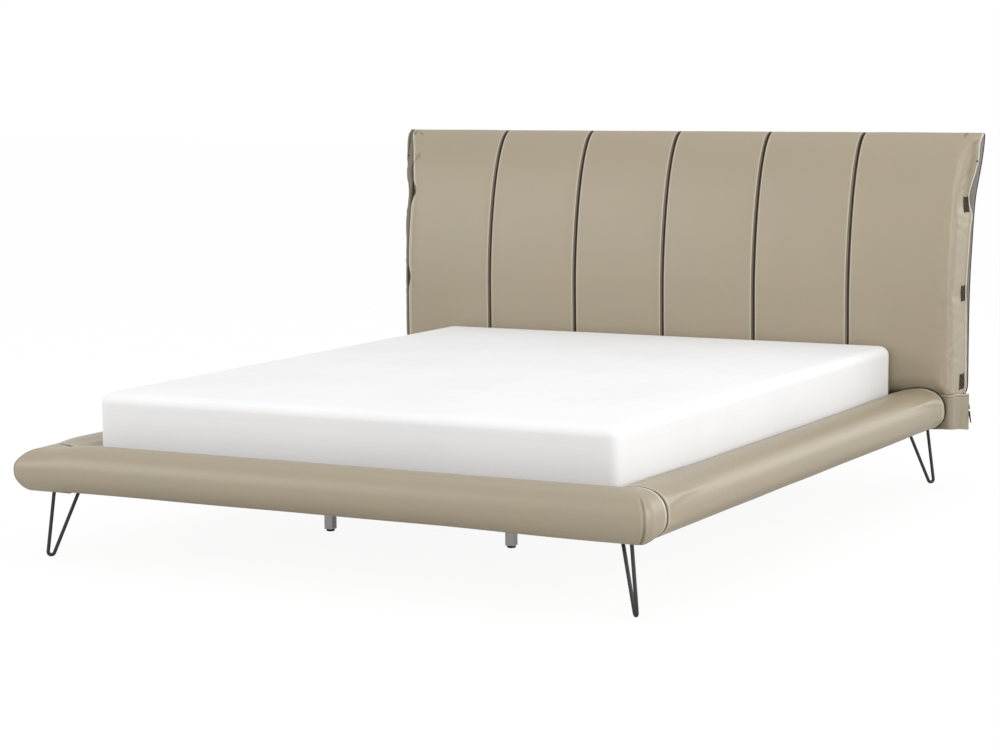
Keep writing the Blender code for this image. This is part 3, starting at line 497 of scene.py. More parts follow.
SWELL_FRAMES = 16
SWELL_QUALITY = 5
SWELL_STIFFNESS = 14.0
SWELL_BENDING = 0.8


def smoothstep(value, low, high):
    """Smooth ramp from 0 at low to 1 at high."""
    share = np.clip((value - low) / (high - low), 0.0, 1.0)
    return share * share * (3.0 - 2.0 * share)


def bell(value, width):
    """Bell curve of 1 at zero."""
    return np.exp(-(value / width) ** 2)


def superellipse(share, power):
    """Height share of a superellipse at a share of its half width."""
    return (1.0 - np.clip(np.abs(share), 0.0, 1.0) ** power) ** (1.0 / power)


def ripple(first, second, seed, scale):
    """A smooth field of soft waves about zero, the same each run."""
    rng = np.random.default_rng(seed)
    total = np.zeros(np.broadcast(first, second).shape)
    for _ in range(7):
        angle, stretch = rng.uniform(0.0, 2 * math.pi), rng.uniform(0.6, 1.7)
        phase = rng.uniform(0.0, 2 * math.pi)
        along = (first * math.cos(angle) + second * math.sin(angle)) * stretch / scale
        total = total + np.sin(2 * math.pi * along + phase)
    return total / 7


def new_piece(name, bm, finish, body=FRAME_BODY, smooth=True, sharp=None):
    """Turn a bmesh into a piece that rides on a body."""
    mesh = bpy.data.meshes.new(name)
    bm.to_mesh(mesh)
    bm.free()
    if smooth:
        mesh.shade_smooth()
        if sharp is not None:
            mesh.set_sharp_from_angle(angle=math.radians(sharp))
    for item in ([finish] if isinstance(finish, str) else finish):
        mesh.materials.append(material(item))
    made = bpy.data.objects.new(name, mesh)
    bpy.context.scene.collection.objects.link(made)
    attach(made, body)
    return made


def points_of(bm):
    """Places of the points of a bmesh."""
    return np.array([vert.co for vert in bm.verts])


def move_points(bm, points):
    """Give every point of a bmesh its place."""
    for vert, point in zip(bm.verts, points):
        vert.co = point


def unit(vectors):
    """Vectors brought to a length of 1."""
    return vectors / np.maximum(np.linalg.norm(vectors, axis=1, keepdims=True), TINY)


def evenly(line, count):
    """Points at an even spacing along a line, and the line's length."""
    far = np.concatenate([[0.0], np.cumsum(np.linalg.norm(np.diff(line, axis=0), axis=1))])
    even = np.linspace(0.0, far[-1], count)
    return np.column_stack([np.interp(even, far, axis) for axis in line.T]), far[-1]


def fill_rims(bm):
    """Close the open ends of a shell and turn its faces outwards."""
    rim = [edge for edge in bm.edges if edge.is_boundary]
    if rim:
        bmesh.ops.holes_fill(bm, edges=rim, sides=0)
    bmesh.ops.recalc_face_normals(bm, faces=bm.faces)


def thicken(bm, thickness):
    """Give a sheet its thickness."""
    bmesh.ops.solidify(bm, geom=bm.faces, thickness=thickness)
    bmesh.ops.recalc_face_normals(bm, faces=bm.faces)


def turned_bmesh(profile, steps):
    """A solid turned about Z from (radius, height) points that start on the axis."""
    bm = bmesh.new()
    verts = [bm.verts.new((radius, 0.0, height)) for radius, height in profile]
    edges = [bm.edges.new(pair) for pair in zip(verts, verts[1:])]
    bmesh.ops.spin(bm, geom=verts + edges, cent=(0, 0, 0), axis=(0, 0, 1), angle=2 * math.pi, steps=steps,
                   use_merge=True)
    bmesh.ops.remove_doubles(bm, verts=bm.verts, dist=WELD)
    fill_rims(bm)
    return bm


def grid_bmesh(columns, rows, place):
    """A grid of columns by rows cells whose points place(u, v) gives, both from 0 to 1."""
    bm = bmesh.new()
    bm.loops.layers.uv.new("UVMap")
    bmesh.ops.create_grid(bm, x_segments=columns, y_segments=rows, size=0.5, calc_uvs=True)
    flat = points_of(bm)
    move_points(bm, place(flat[:, 0] + 0.5, flat[:, 1] + 0.5))
    bm.normal_update()
    return bm


def set_attribute(bm, name, values):
    """Store one number for each point under a name."""
    layer = bm.verts.layers.float.get(name) or bm.verts.layers.float.new(name)
    for vert, value in zip(bm.verts, values):
        vert[layer] = value


def numeric_normals(place, u, v, step=1e-4):
    """Normals of a mapped surface, by small steps."""
    across = place(np.clip(u + step, 0, 1), v) - place(np.clip(u - step, 0, 1), v)
    along = place(u, np.clip(v + step, 0, 1)) - place(u, np.clip(v - step, 0, 1))
    return unit(np.cross(across, along))


def sampled(field, u, v):
    """Values of a coarse grid of points, read between them."""
    rows, columns = field.shape[:2]
    x, y = u * (columns - 1), v * (rows - 1)
    left = np.clip(np.floor(x).astype(int), 0, columns - 2)
    low = np.clip(np.floor(y).astype(int), 0, rows - 2)
    right_share, high_share = (x - left)[:, None], (y - low)[:, None]
    lower = field[low, left] * (1 - right_share) + field[low, left + 1] * right_share
    upper = field[low + 1, left] * (1 - right_share) + field[low + 1, left + 1] * right_share
    return lower * (1 - high_share) + upper * high_share


def swell(name, columns, rows, place, held, pressure, limit):
    """How far the points of a padded surface move when its filling swells it.

    A coarse copy is inflated by cloth simulation without gravity, its held points stay, and no point
    moves further than limit. Gives the moves as a grid to read with sampled().
    """
    shape = (rows + 1, columns + 1, 3)
    bm = grid_bmesh(columns, rows, place)
    rest = points_of(bm)
    u = np.tile(np.linspace(0, 1, columns + 1), rows + 1)
    v = np.repeat(np.linspace(0, 1, rows + 1), columns + 1)
    mesh = bpy.data.meshes.new(name)
    bm.to_mesh(mesh)
    bm.free()
    trial = bpy.data.objects.new(name, mesh)
    bpy.context.scene.collection.objects.link(trial)
    pins = trial.vertex_groups.new(name="held")
    pins.add([int(index) for index in np.nonzero(held(u, v))[0]], 1.0, "REPLACE")
    cloth = trial.modifiers.new("swell", "CLOTH")
    cloth.settings.vertex_group_mass = pins.name
    cloth.settings.quality = SWELL_QUALITY
    cloth.settings.use_pressure = True
    cloth.settings.uniform_pressure_force = pressure
    cloth.settings.tension_stiffness = SWELL_STIFFNESS
    cloth.settings.compression_stiffness = SWELL_STIFFNESS
    cloth.settings.bending_stiffness = SWELL_BENDING
    cloth.settings.effector_weights.gravity = 0.0
    cloth.collision_settings.use_collision = False
    cloth.point_cache.frame_start = 1
    cloth.point_cache.frame_end = SWELL_FRAMES
    for step in range(1, SWELL_FRAMES + 1):
        bpy.context.scene.frame_set(step)
    swollen = trial.evaluated_get(bpy.context.evaluated_depsgraph_get()).data
    moved = np.array([vert.co for vert in swollen.vertices]) - rest
    bpy.data.objects.remove(trial)
    bpy.context.scene.frame_set(1)
    length = np.linalg.norm(moved, axis=1, keepdims=True)
    moved *= limit * np.tanh(length / limit) / np.maximum(length, 1e-9)
    print(f"{name}: swells by {length.max() * 1000:.1f} mm, kept within {limit * 1000:.0f} mm")
    return moved.reshape(shape)


def sweep_bmesh(points, section, up=(0.0, 0.0, 1.0), closed_path=False):
    """Carry a flat section, a list of (across, over) points, along a path."""
    points = np.array(points, float)
    section = np.array(section, float)
    if closed_path:
        tangent = unit(np.roll(points, -1, 0) - np.roll(points, 1, 0))
    else:
        tangent = unit(np.gradient(points, axis=0))
    over = np.array(up, float) if np.ndim(up) == 2 else np.tile(np.array(up, float), (len(points), 1))
    across = unit(np.cross(tangent, over))
    over = np.cross(across, tangent)
    count, steps = len(section), len(points)
    cells = steps if closed_path else steps - 1

    def place(u, v):
        side = np.rint(u * count).astype(int) % count
        step = np.rint(v * cells).astype(int) % steps
        return (points[step] + across[step] * section[side, 0][:, None]
                + over[step] * section[side, 1][:, None])

    bm = grid_bmesh(count, cells, place)
    bmesh.ops.remove_doubles(bm, verts=bm.verts, dist=WELD)
    fill_rims(bm)
    return bm


def ring_section(radius, sides, flat=1.0):
    """Points of a round or flattened section."""
    turns = [2 * math.pi * index / sides for index in range(sides)]
    return [(radius * math.cos(turn), radius * flat * math.sin(turn)) for turn in turns]


def flat_section(half, low, high):
    """Corners of a strip's section."""
    return [(-half, low), (half, low), (half, high), (-half, high)]


def joined(target, source, matrix=None):
    """Add a bmesh to another, moved by a matrix, and free it."""
    mesh = bpy.data.meshes.new("joining")
    if matrix is not None:
        bmesh.ops.transform(source, matrix=matrix, verts=source.verts)
    source.to_mesh(mesh)
    source.free()
    target.from_mesh(mesh)
    bpy.data.meshes.remove(mesh)


def stamp(target, mesh, matrix):
    """Add a copy of a mesh, moved by a matrix, to a bmesh."""
    moved = mesh.copy()
    moved.transform(matrix)
    target.from_mesh(moved)
    bpy.data.meshes.remove(moved)


def close_boundary(bm, *targets):
    """Carry a shell's open rim on to the points that each target gives, one after the other, and fill it."""
    for target in targets:
        rim = [edge for edge in bm.edges if edge.is_boundary]
        grown = bmesh.ops.extrude_edge_only(bm, edges=rim)
        verts = [item for item in grown["geom"] if isinstance(item, bmesh.types.BMVert)]
        for vert, point in zip(verts, target(np.array([vert.co for vert in verts]))):
            vert.co = point
    fill_rims(bm)
    if bm.calc_volume(signed=True) < 0:
        bmesh.ops.reverse_faces(bm, faces=bm.faces)


# Headboard


PAD_HALF = CUSHION_HIGH.x
PAD_FLAT = PAD_HALF - PAD_TURN_RADIUS
PAD_FRONT_Y = CUSHION_LOW.y
PAD_BACK_Y = CUSHION_HIGH.y
PAD_TOP = CUSHION_HIGH.z
PAD_BOTTOM = CUSHION_LOW.z
PROFILE_POINTS = 600
# Share of the pad's grid that a side face takes, and where on it the rounded turn starts and ends
PAD_SIDE_SHARE = 0.075
TURN_LEAD = 0.06
TURN_END = 0.46
SIDE_REACH = 0.118
TURN_SPARE = 0.004
# The pad's lower edge is less hollow towards its ends, and hangs a little lower there
UNDERCUT_SHARE = 0.62
END_HANG = 0.009
# Panels and the channels between them
CHANNEL_DEPTH = 0.0072
CHANNEL_FLOOR_HALF = 0.0052
CHANNEL_WALL_HALF = 0.0066
LIP_HEIGHT = 0.0011
LIP_PLACE = 0.0088
LIP_WIDTH = 0.0018
PANEL_CROWN = 0.0042
PANEL_POWER = 5.0
PANEL_WAVE = 0.0010
# Pulls at the ties, each with folds that start at a height from it and lean by a height over the side face
TIE_PULL = 0.007
TIE_PULL_SHARES = (0.5, 0.7, 1.0)
TIE_PULL_REACH = 0.038
TIE_FOLDS = ((0.050, 0.040), (-0.048, -0.040), (0.085, 0.070), (-0.082, -0.060))
TIE_FOLD_DEPTH = 0.0016
TIE_FOLD_WIDTH = 0.009
# Low folds of the right side face: height, lean, width and share of the depth
LOW_FOLDS = ((0.433, 0.06, 0.010, 1.0), (0.432, -0.03, 0.008, 0.7), (0.456, 0.09, 0.010, 0.5))
LOW_FOLD_DEPTH = 0.0030
SIDE_WAVE = 0.0016
VALLEY_DEPTH = 0.0050
TUCK_PLACE = 0.020
TUCK_WIDTH = 0.005
TUCK_DEPTH = 0.003
SHEET_FRONT_Y = COVER_HIGH.y - 0.003
# Half width of the back sheet at heights above the floor, flared towards its ears
BACK_HEIGHTS = (0.180, 0.285, 0.310, 0.520, 0.620, 0.697, 0.748, 0.850, 0.900, 0.925, 0.951, 0.976, 1.001,
                1.026, 1.051, 1.076, 1.102, 1.117)
BACK_HALVES = (0.9895, 0.9895, 0.9980, 0.9980, 0.9995, 1.0020, 1.0047, 1.0098, 1.0136, 1.0165, 1.0207,
               1.0255, 1.0297, 1.0339, 1.0374, 1.0405, 1.0422, 1.0422)
LEFT_EAR_LESS = 0.0015
# How far the cushion's rear edge stands inside and in front of the back sheet, at heights above the floor
EDGE_HEIGHTS = (0.30, 0.40, 0.526, 0.637, 0.730, 0.818, 0.8595, 0.897, 0.929, 0.976, 1.004, 1.033, 1.064,
                1.095, 1.117)
EDGE_INSET_X = (0.003, 0.0041, 0.0052, 0.0078, 0.0072, 0.0064, 0.0024, 0.014, 0.0188, 0.0150, 0.0115,
                0.0092, 0.0123, 0.0128, 0.0030)
EDGE_INSET_Y = (0.004, 0.0085, 0.0085, 0.0085, 0.0085, 0.0085, 0.003, 0.0085, 0.014, 0.0085, 0.0085,
                0.0085, 0.0085, 0.0085, 0.0030)
# The left side's edge is drawn further forward
LEFT_HEIGHTS = (0.30, 0.55, 0.605, 0.66, 0.853, 0.876, 0.900, 0.935, 0.973, 1.010, 1.050, 1.089, 1.117)
LEFT_INSET_X = (0.008, 0.008, 0.013, 0.008, 0.010, 0.012, 0.014, 0.014, 0.012, 0.012, 0.014, 0.014, 0.006)
LEFT_INSET_Y = (0.004, 0.004, 0.010, 0.004, 0.006, 0.012, 0.028, 0.050, 0.070, 0.066, 0.054, 0.042, 0.012)
# Where the folded edge of the front cover's left side runs, past the start of the turn
FOLD_HEIGHTS = (0.930, 0.980, 1.015, 1.050, 1.090, 1.117)
FOLD_PLACES = (0.0015, 0.0045, 0.0105, 0.020, 0.036, 0.058)
UPPER_HOLE_Z = TIE_HEIGHTS[2] + 0.014
# Where the folded edge stands out: height, reach along it and share
FOLD_SWELLS = ((0.957, 0.042, 1.0), (0.830, 0.060, 0.55), (1.060, 0.040, 0.20))
FOLD_SWELL = 0.0075
# Where a curved crease crosses that fold
CREASE_HEIGHTS = (0.945, 0.957, 0.975, 0.990, 1.003, 1.014, 1.024, 1.034, 1.050)
CREASE_PLACES = (0.0140, 0.0148, 0.0170, 0.0182, 0.0150, 0.0064, 0.0013, -0.0020, -0.0080)
CREASE_DEPTH = 0.0034
# Inner face that closes the pad in front of its board
CORE_HALF = 0.957
CORE_Y = 1.1126
CORE_LOW = 0.3045
CORE_HIGH = 1.0360
CORE_STEP = 0.016


def pad_profile():
    """Front outline of the cushion in Y and Z, from its lower edge up and over to the back, evenly spaced."""
    turn = np.radians(np.linspace(-90.0, -180.0, 24))
    centre_y = PAD_FRONT_Y + PAD_LOWER_DRAW + PAD_BOTTOM_RADIUS
    belly_z = PAD_BOTTOM + PAD_BOTTOM_RADIUS
    bottom = np.stack([centre_y + PAD_BOTTOM_RADIUS * np.cos(turn),
                       belly_z + PAD_BOTTOM_RADIUS * np.sin(turn)], 1)
    share = np.linspace(0.0, 1.0, 40)[1:]
    belly = np.stack([PAD_FRONT_Y + PAD_LOWER_DRAW * (1 - share) ** 2,
                      belly_z + share * (PAD_BELLY_Z - belly_z)], 1)
    turn = np.linspace(0.0, math.pi / 2, 120)[1:]
    depth, height = PAD_BACK_Y - PAD_FRONT_Y, PAD_TOP - PAD_BELLY_Z
    top = np.stack([PAD_FRONT_Y + depth * (1 - np.cos(turn)),
                    PAD_BELLY_Z + height * np.sin(turn) ** (2 / PAD_TOP_POWER)], 1)
    return evenly(np.concatenate([bottom, belly, top]), PROFILE_POINTS)[0]


PROFILE = pad_profile()
PROFILE_SLOPE = unit(np.gradient(PROFILE, axis=0))
PROFILE_LENGTH = float(np.sum(np.linalg.norm(np.diff(PROFILE, axis=0), axis=1)))


def profile_at(v):
    """Y and Z of the cushion's outline at a share of its length, and the outward normal there."""
    shares = np.linspace(0.0, 1.0, len(PROFILE))
    point, slope = (np.column_stack([np.interp(v, shares, axis) for axis in table.T])
                    for table in (PROFILE, PROFILE_SLOPE))
    return point, np.stack([-slope[:, 1], slope[:, 0]], 1)


def eased(z, heights, values, reach=0.014):
    """Values of a table at heights, with its corners rounded."""
    return sum(np.interp(z + shift, heights, values) for shift in np.linspace(-reach, reach, 7)) / 7


def back_half_width(z, side):
    """Half width of the back sheet at a height; the left ear flares a little less."""
    less = np.where(np.asarray(side) > 0, 0.0, LEFT_EAR_LESS) * smoothstep(z, 0.90, 1.04)
    return eased(z, BACK_HEIGHTS, BACK_HALVES) - less


def rear_edge(side, z, v):
    """X and Y of the cushion's rear edge at a height; its top end turns in to the back sheet."""
    right = np.asarray(side) > 0
    inset_x = np.where(right, eased(z, EDGE_HEIGHTS, EDGE_INSET_X), eased(z, LEFT_HEIGHTS, LEFT_INSET_X))
    inset_y = np.where(right, eased(z, EDGE_HEIGHTS, EDGE_INSET_Y), eased(z, LEFT_HEIGHTS, LEFT_INSET_Y))
    y = SHEET_FRONT_Y - inset_y
    return back_half_width(z, side) - inset_x, y + (PAD_BACK_Y - 0.0006 - y) * smoothstep(v, 0.955, 1.0)


def pad_point(u, v):
    """Base surface of the headboard cushion: front, rounded turn and side face, to the rear edge."""
    point, _ = profile_at(v)
    y, z = point[:, 0], point[:, 1]
    side = np.sign(u - 0.5)
    share = np.abs(u - 0.5) * 2
    recess = np.clip(y - PAD_FRONT_Y - PAD_LOWER_DRAW, 0.0, None) * (z < PAD_BELLY_Z)
    y = y - UNDERCUT_SHARE * recess * smoothstep(share, 0.78, 0.87)
    z = z - END_HANG * smoothstep(share, 0.94, 1.0) * (1 - smoothstep(v, 0.0, 0.10))
    front_share = np.clip(share / (1 - PAD_SIDE_SHARE), 0.0, 1.0)
    t = np.clip((share - (1 - PAD_SIDE_SHARE)) / PAD_SIDE_SHARE, 0.0, 1.0)[:, None]
    edge_x, edge_y = rear_edge(side, z, v)
    start = np.stack([np.full_like(y, PAD_FLAT), y, z], 1)
    corner = np.stack([np.full_like(y, PAD_HALF - 0.0008), y, z], 1)
    end = np.stack([edge_x, np.maximum(edge_y, y - 0.002), z], 1)
    reach = np.linalg.norm(end - corner, axis=1)
    radius = np.minimum(PAD_TURN_RADIUS - TURN_SPARE, 0.62 * reach)[:, None]
    first = corner + (start - corner) / PAD_TURN_RADIUS * radius
    second = corner + (end - corner) / np.maximum(reach, 1e-6)[:, None] * radius
    straight = start + (first - start) * np.clip(t / TURN_LEAD, 0, 1)
    b = np.clip((t - TURN_LEAD) / (TURN_END - TURN_LEAD), 0, 1)
    curve = (1 - b) ** 2 * first + 2 * b * (1 - b) * corner + b * b * second
    rest = second + (end - second) * np.clip((t - TURN_END) / (1 - TURN_END), 0, 1)
    placed = np.where(t < TURN_LEAD, straight, np.where(t < TURN_END, curve, rest))
    on_side = t[:, 0] > 0
    return np.stack([side * np.where(on_side, placed[:, 0], PAD_FLAT * front_share),
                     np.where(on_side, placed[:, 1], y), np.where(on_side, placed[:, 2], z)], 1)


def pad_columns():
    """The u of every column: even over the panels, close together at the seams and round the turns."""
    near = (0.0, 0.0045, 0.0058, 0.0064, 0.0074, 0.0088, 0.0106, 0.0135, 0.018)
    edge = (0.0, 0.002, 0.004, 0.006, 0.009, 0.013, 0.018, 0.025)
    stops = [-PAD_FLAT, *SEAM_X, PAD_FLAT]
    columns = []
    for index, (start, end) in enumerate(zip(stops, stops[1:])):
        first, last = index == 0, index == len(stops) - 2
        low = start + (edge[-1] if first else near[-1])
        high = end - (edge[-1] if last else near[-1])
        columns += list(np.linspace(low, high, 28))
        columns += [start + gap for gap in (edge[:-1] if first else near[:-1])]
        columns += [end - gap for gap in (edge[1:-1] if last else near[1:-1])]
    columns += [PAD_FLAT]
    columns = sorted(columns)
    middle = [0.5 + x / PAD_FLAT * (1 - PAD_SIDE_SHARE) / 2 for x in columns]
    turn = np.concatenate([np.linspace(0, 0.30, 22)[1:], np.linspace(0.30, 1.0, 26)[1:]])
    outer = 1 - PAD_SIDE_SHARE / 2 + PAD_SIDE_SHARE / 2 * turn
    return np.array([1 - part for part in outer[::-1]] + middle + list(outer))


def nearest_seam(x):
    """Distance to the nearest seam."""
    return np.min([np.abs(x - seam) for seam in SEAM_X], axis=0)


def panel_relief(x):
    """How far the front is drawn in at an x: a channel at each seam with a folded lip on both sides."""
    gap = nearest_seam(x)
    stops = np.array([-PAD_HALF, *SEAM_X, PAD_HALF])
    index = np.clip(np.searchsorted(stops, x) - 1, 0, len(stops) - 2)
    across = (x - stops[index]) / (stops[index + 1] - stops[index]) * 2 - 1
    ends = ((index == 0) & (across < 0)) | ((index == len(stops) - 2) & (across > 0))
    crown = np.where(ends, 0.0, PANEL_CROWN * (1 - superellipse(across, PANEL_POWER)))
    trench = (CHANNEL_DEPTH - PANEL_CROWN) * (1 - smoothstep(gap, CHANNEL_FLOOR_HALF, CHANNEL_WALL_HALF))
    return crown + trench - LIP_HEIGHT * bell(gap - LIP_PLACE, LIP_WIDTH)


def side_relief(share, z, right):
    """How far the side face is drawn in: pulled at its ties, folded beside them and low down, and wavy."""
    total = np.zeros(len(z))
    for height, pull in zip(TIE_HEIGHTS, TIE_PULL_SHARES):
        near = z - height
        start = smoothstep(share, 0.22, 0.5) * (1 - 0.6 * share)
        total += TIE_PULL * pull * bell(near, TIE_PULL_REACH) * start
        for offset, lean in TIE_FOLDS:
            fold = bell(near - offset - lean * (share - 0.6), TIE_FOLD_WIDTH)
            total += TIE_FOLD_DEPTH * fold * smoothstep(share, 0.08, 0.35) * (1 - 0.7 * share)
    low = sum(part * bell(z - height - lean * share, width) for height, lean, width, part in LOW_FOLDS)
    total += LOW_FOLD_DEPTH * low * smoothstep(share, 0.04, 0.3) * (1 - 0.8 * share) * right
    waves = ripple(share * 0.11, z, 5, 0.15) + 0.6 * ripple(share * 0.11, z, 6, 0.07)
    total -= SIDE_WAVE * waves * smoothstep(share, 0.08, 0.4) * (1 - smoothstep(share, 0.9, 1.0))
    ear = smoothstep(z, 0.93, 1.0) * (1 - smoothstep(z, 1.08, 1.115))
    return total + VALLEY_DEPTH * bell(share - 0.74, 0.14) * ear


def left_edge(past, z):
    """The left side's folded edge, which its ties pull in: how far in it is, how dark the painted shade in
    its slots and on the shaded band beyond it is, and how light the rubbed line with a painted highlight on
    its fold is.
    """
    upper = bell(z - UPPER_HOLE_Z, 0.028)
    middle = bell(z - TIE_HEIGHTS[1], 0.026)
    beyond = past - (eased(z, FOLD_HEIGHTS, FOLD_PLACES) - 0.0095 * upper - 0.0045 * middle)
    hole = np.maximum(upper, 0.8 * middle)
    slot = bell(beyond - 0.0065 - 0.004 * hole, 0.0030 + 0.0045 * hole)
    inward = (0.0032 + 0.020 * hole) * slot - 0.0014 * bell(beyond, 0.0035)
    # The band beyond the fold faces away from the light and gets painted shade.
    band = smoothstep(beyond, 0.004, 0.010) * (0.62 + 0.28 * smoothstep(past, 0.045, 0.065))
    out = sum(part * bell(z - height, reach) for height, reach, part in FOLD_SWELLS)
    inward -= FOLD_SWELL * out * smoothstep(past, 0.010, 0.026) * (1 - smoothstep(past, 0.06, 0.10))
    # Painted shade in the slots at the ties and a painted highlight on the fold's ridge.
    return inward, (0.40 + 0.9 * hole) * slot + band, 0.75 * bell(beyond, 0.0028)


def pad_detail(u, v, points):
    """How far the cushion is drawn in at each point, how dark the shade painted in its channels, tucks,
    creases and shaded hollows is, and how light its rubbed edges and the highlights painted on its lips are.
    """
    x, z = points[:, 0], points[:, 2]
    right = u > 0.5
    gap = nearest_seam(x)
    share = np.clip((np.abs(u - 0.5) * 2 - (1 - PAD_SIDE_SHARE)) / PAD_SIDE_SHARE, 0, 1)
    past = np.where(share > 0, (share - TURN_LEAD) * SIDE_REACH, np.abs(x) - PAD_FLAT)
    front = 1 - smoothstep(np.abs(x), PAD_FLAT - 0.006, PAD_FLAT)
    calm = 1 - smoothstep(np.abs(x), PAD_FLAT - 0.12, PAD_FLAT - 0.01)
    waves = ripple(x, z, 11, 0.60) * smoothstep(gap, 0.01, 0.06) * calm
    inward = panel_relief(x) * front - PANEL_WAVE * waves
    inward += side_relief(share, z, right) * (1 - smoothstep(v, 0.925, 0.965))
    # Painted shade on the channel walls beside each seam; a painted highlight on the lips beside them, and
    # the rear edge of each side rubbed light.
    crease = 0.75 * bell(gap - 0.0060, 0.0012) * front
    rub = 0.50 * bell(gap - 0.0090, 0.0014) * front + smoothstep(share, 0.975, 0.995)
    tuck = bell(past - TUCK_PLACE, TUCK_WIDTH) * smoothstep(v, 0.945, 0.985) * right
    shade = bell(share - 0.80, 0.09) * smoothstep(z, 0.93, 1.0) * (1 - smoothstep(z, 1.085, 1.112)) * right
    inward += TUCK_DEPTH * tuck
    # Painted shade in the tuck and along the ear's shaded valley.
    crease += 0.6 * tuck + 0.30 * shade
    left = ~right * smoothstep(v, 0.02, 0.06)
    for total, part in zip((inward, crease, rub), left_edge(past, z)):
        total += part * left
    away = past - eased(z, CREASE_HEIGHTS, CREASE_PLACES, 0.006)
    strength = smoothstep(z, 0.945, 0.965) * (1 - smoothstep(z, 1.025, 1.050)) * ~right
    inward += CREASE_DEPTH * bell(away, 0.0036) * strength
    # Painted shade in the curved crease.
    crease += 0.55 * bell(away, 0.0024) * strength
    return inward, np.clip(crease, 0, 1), np.clip(rub, 0, 1)


def pad_surface(u, v):
    """Finished surface of the cushion without the swelling of its filling."""
    points = pad_point(u, v)
    inward, _, _ = pad_detail(u, v, points)
    return points - numeric_normals(pad_point, u, v) * inward[:, None]


def core_face(rim):
    """Points of the pad's inner face that lie nearest to those of its rim."""
    return np.stack([np.clip(rim[:, 0], -CORE_HALF, CORE_HALF), np.full(len(rim), CORE_Y),
                     np.clip(rim[:, 2], CORE_LOW, CORE_HIGH)], 1)


def before_core(rim):
    """Points on the way from the pad's rim to its inner face, kept clear of the board's edges."""
    points = rim + 0.8 * (core_face(rim) - rim)
    away = (np.abs(rim[:, 0]) > CORE_HALF) | (rim[:, 2] > CORE_HIGH)
    points[:, 1] += np.where(away, CORE_STEP, 0.0)
    return points


def build_pad():
    """The headboard cushion: six panels between laced channels, drawn in at the side ties."""
    columns = pad_columns()
    count, rows = len(columns), 160

    def base(u, v):
        return pad_point(np.interp(u, np.linspace(0, 1, count), columns), v)

    def held(u, v):
        share = (np.abs(u - 0.5) * 2 - (1 - PAD_SIDE_SHARE)) / PAD_SIDE_SHARE
        x = (u - 0.5) * 2 / (1 - PAD_SIDE_SHARE) * PAD_FLAT
        seam = (nearest_seam(x) < 0.010) & (share < 0)
        return seam | (v < 0.012) | (v > 0.985) | (share > 0.9)

    moves = swell("headboard_swell", 150, 76, pad_point, held, 2.6, 0.0040)
    bm = grid_bmesh(count - 1, rows, base)
    u = columns[np.arange(len(bm.verts)) % count]
    v = (np.arange(len(bm.verts)) // count) / rows
    points = pad_point(u, v)
    inward, crease, rub = pad_detail(u, v, points)
    move_points(bm, points + sampled(moves, u, v) - numeric_normals(pad_point, u, v) * inward[:, None])
    # Store the painted shade and the rubbed edges with painted highlights.
    set_attribute(bm, "crease", crease)
    set_attribute(bm, "rub", rub)
    close_boundary(bm, before_core, core_face)
    pad = new_piece("headboard_pad", bm, "taupe_leather_grain")
    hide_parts("headboard_cushion")


STITCH_PITCH = 0.0062
STITCH_TILT = 0.42
STITCH_SINK = 0.0052
STITCH_HALF = 0.0060
STITCH_ARCH = 0.0012
STITCH_RADIUS = 0.0019
# The dark seam floor paints the shade at the bottom of each channel.
SEAM_FLOOR_SINK = 0.0064
SEAM_FLOOR_HALF = 0.0058
SEAM_FLOOR_THICKNESS = 0.0008


def build_seams():
    """The laced strip of each seam: a dark floor that paints the shade at the bottom of the channel, and
    slanting whip stitches over it, from lip to lip.
    """
    steps = 150
    v = np.linspace(0.012, 0.997, steps)
    place, normal = profile_at(v)
    count = int(PROFILE_LENGTH * (v[-1] - v[0]) / STITCH_PITCH)
    spots, outs = profile_at(np.linspace(v[0] + 0.002, v[-1] - 0.002, count))
    floor = flat_section(SEAM_FLOOR_HALF, -SEAM_FLOOR_THICKNESS / 2, SEAM_FLOOR_THICKNESS / 2)
    for index, x in enumerate(SEAM_X):
        path = np.column_stack([np.full(steps, x), place - normal * SEAM_FLOOR_SINK])
        bm = sweep_bmesh(path, floor, up=np.column_stack([np.zeros(steps), normal]))
        for face in bm.faces:
            face.material_index = 1
        template = stitch_bmesh()
        stitch = bpy.data.meshes.new("stitch")
        template.to_mesh(stitch)
        template.free()
        for spot, out in zip(spots, outs):
            up = Vector((0.0, *out))
            along = Vector((0.0, out[1], -out[0]))
            turn = Matrix((Vector((1.0, 0.0, 0.0)), along, up)).transposed().to_4x4()
            centre = Vector((x, *(spot - out * STITCH_SINK)))
            stamp(bm, stitch, Matrix.Translation(centre) @ turn @ Matrix.Rotation(STITCH_TILT, 4, "Z"))
        bpy.data.meshes.remove(stitch)
        lace = new_piece(f"laced_seam_{index + 1}", bm, ("seam_lace", "seam_floor"))
        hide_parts(f"seam_lace_{index + 1}")


def stitch_bmesh():
    """One flat stitch across a seam, arched from lip to lip."""
    share = np.linspace(-1.0, 1.0, 6)
    path = np.column_stack([share * STITCH_HALF, np.zeros(6), STITCH_ARCH * (1 - share ** 4)])
    return sweep_bmesh(path, ring_section(STITCH_RADIUS, 8, 0.36))


def bead(name, path, radius, finish, flat=1.0, up=(0.0, 0.0, 1.0)):
    """A cord or folded edge along a path."""
    return new_piece(name, sweep_bmesh(path, ring_section(radius, 8, flat), up=up), finish)


def edge_line(side, v):
    """Points of the cushion's rear edge on one side."""
    u = np.full(len(v), 1.0 if side > 0 else 0.0)
    return pad_surface(u, v)


LEATHER_THICKNESS = 0.0018
LINING_THICKNESS = 0.0006
BINDING_AND_SHADE_RADIUS = 0.0015
PIPING_RADIUS = 0.0017
EDGE_FOLD_RADIUS = 0.0012
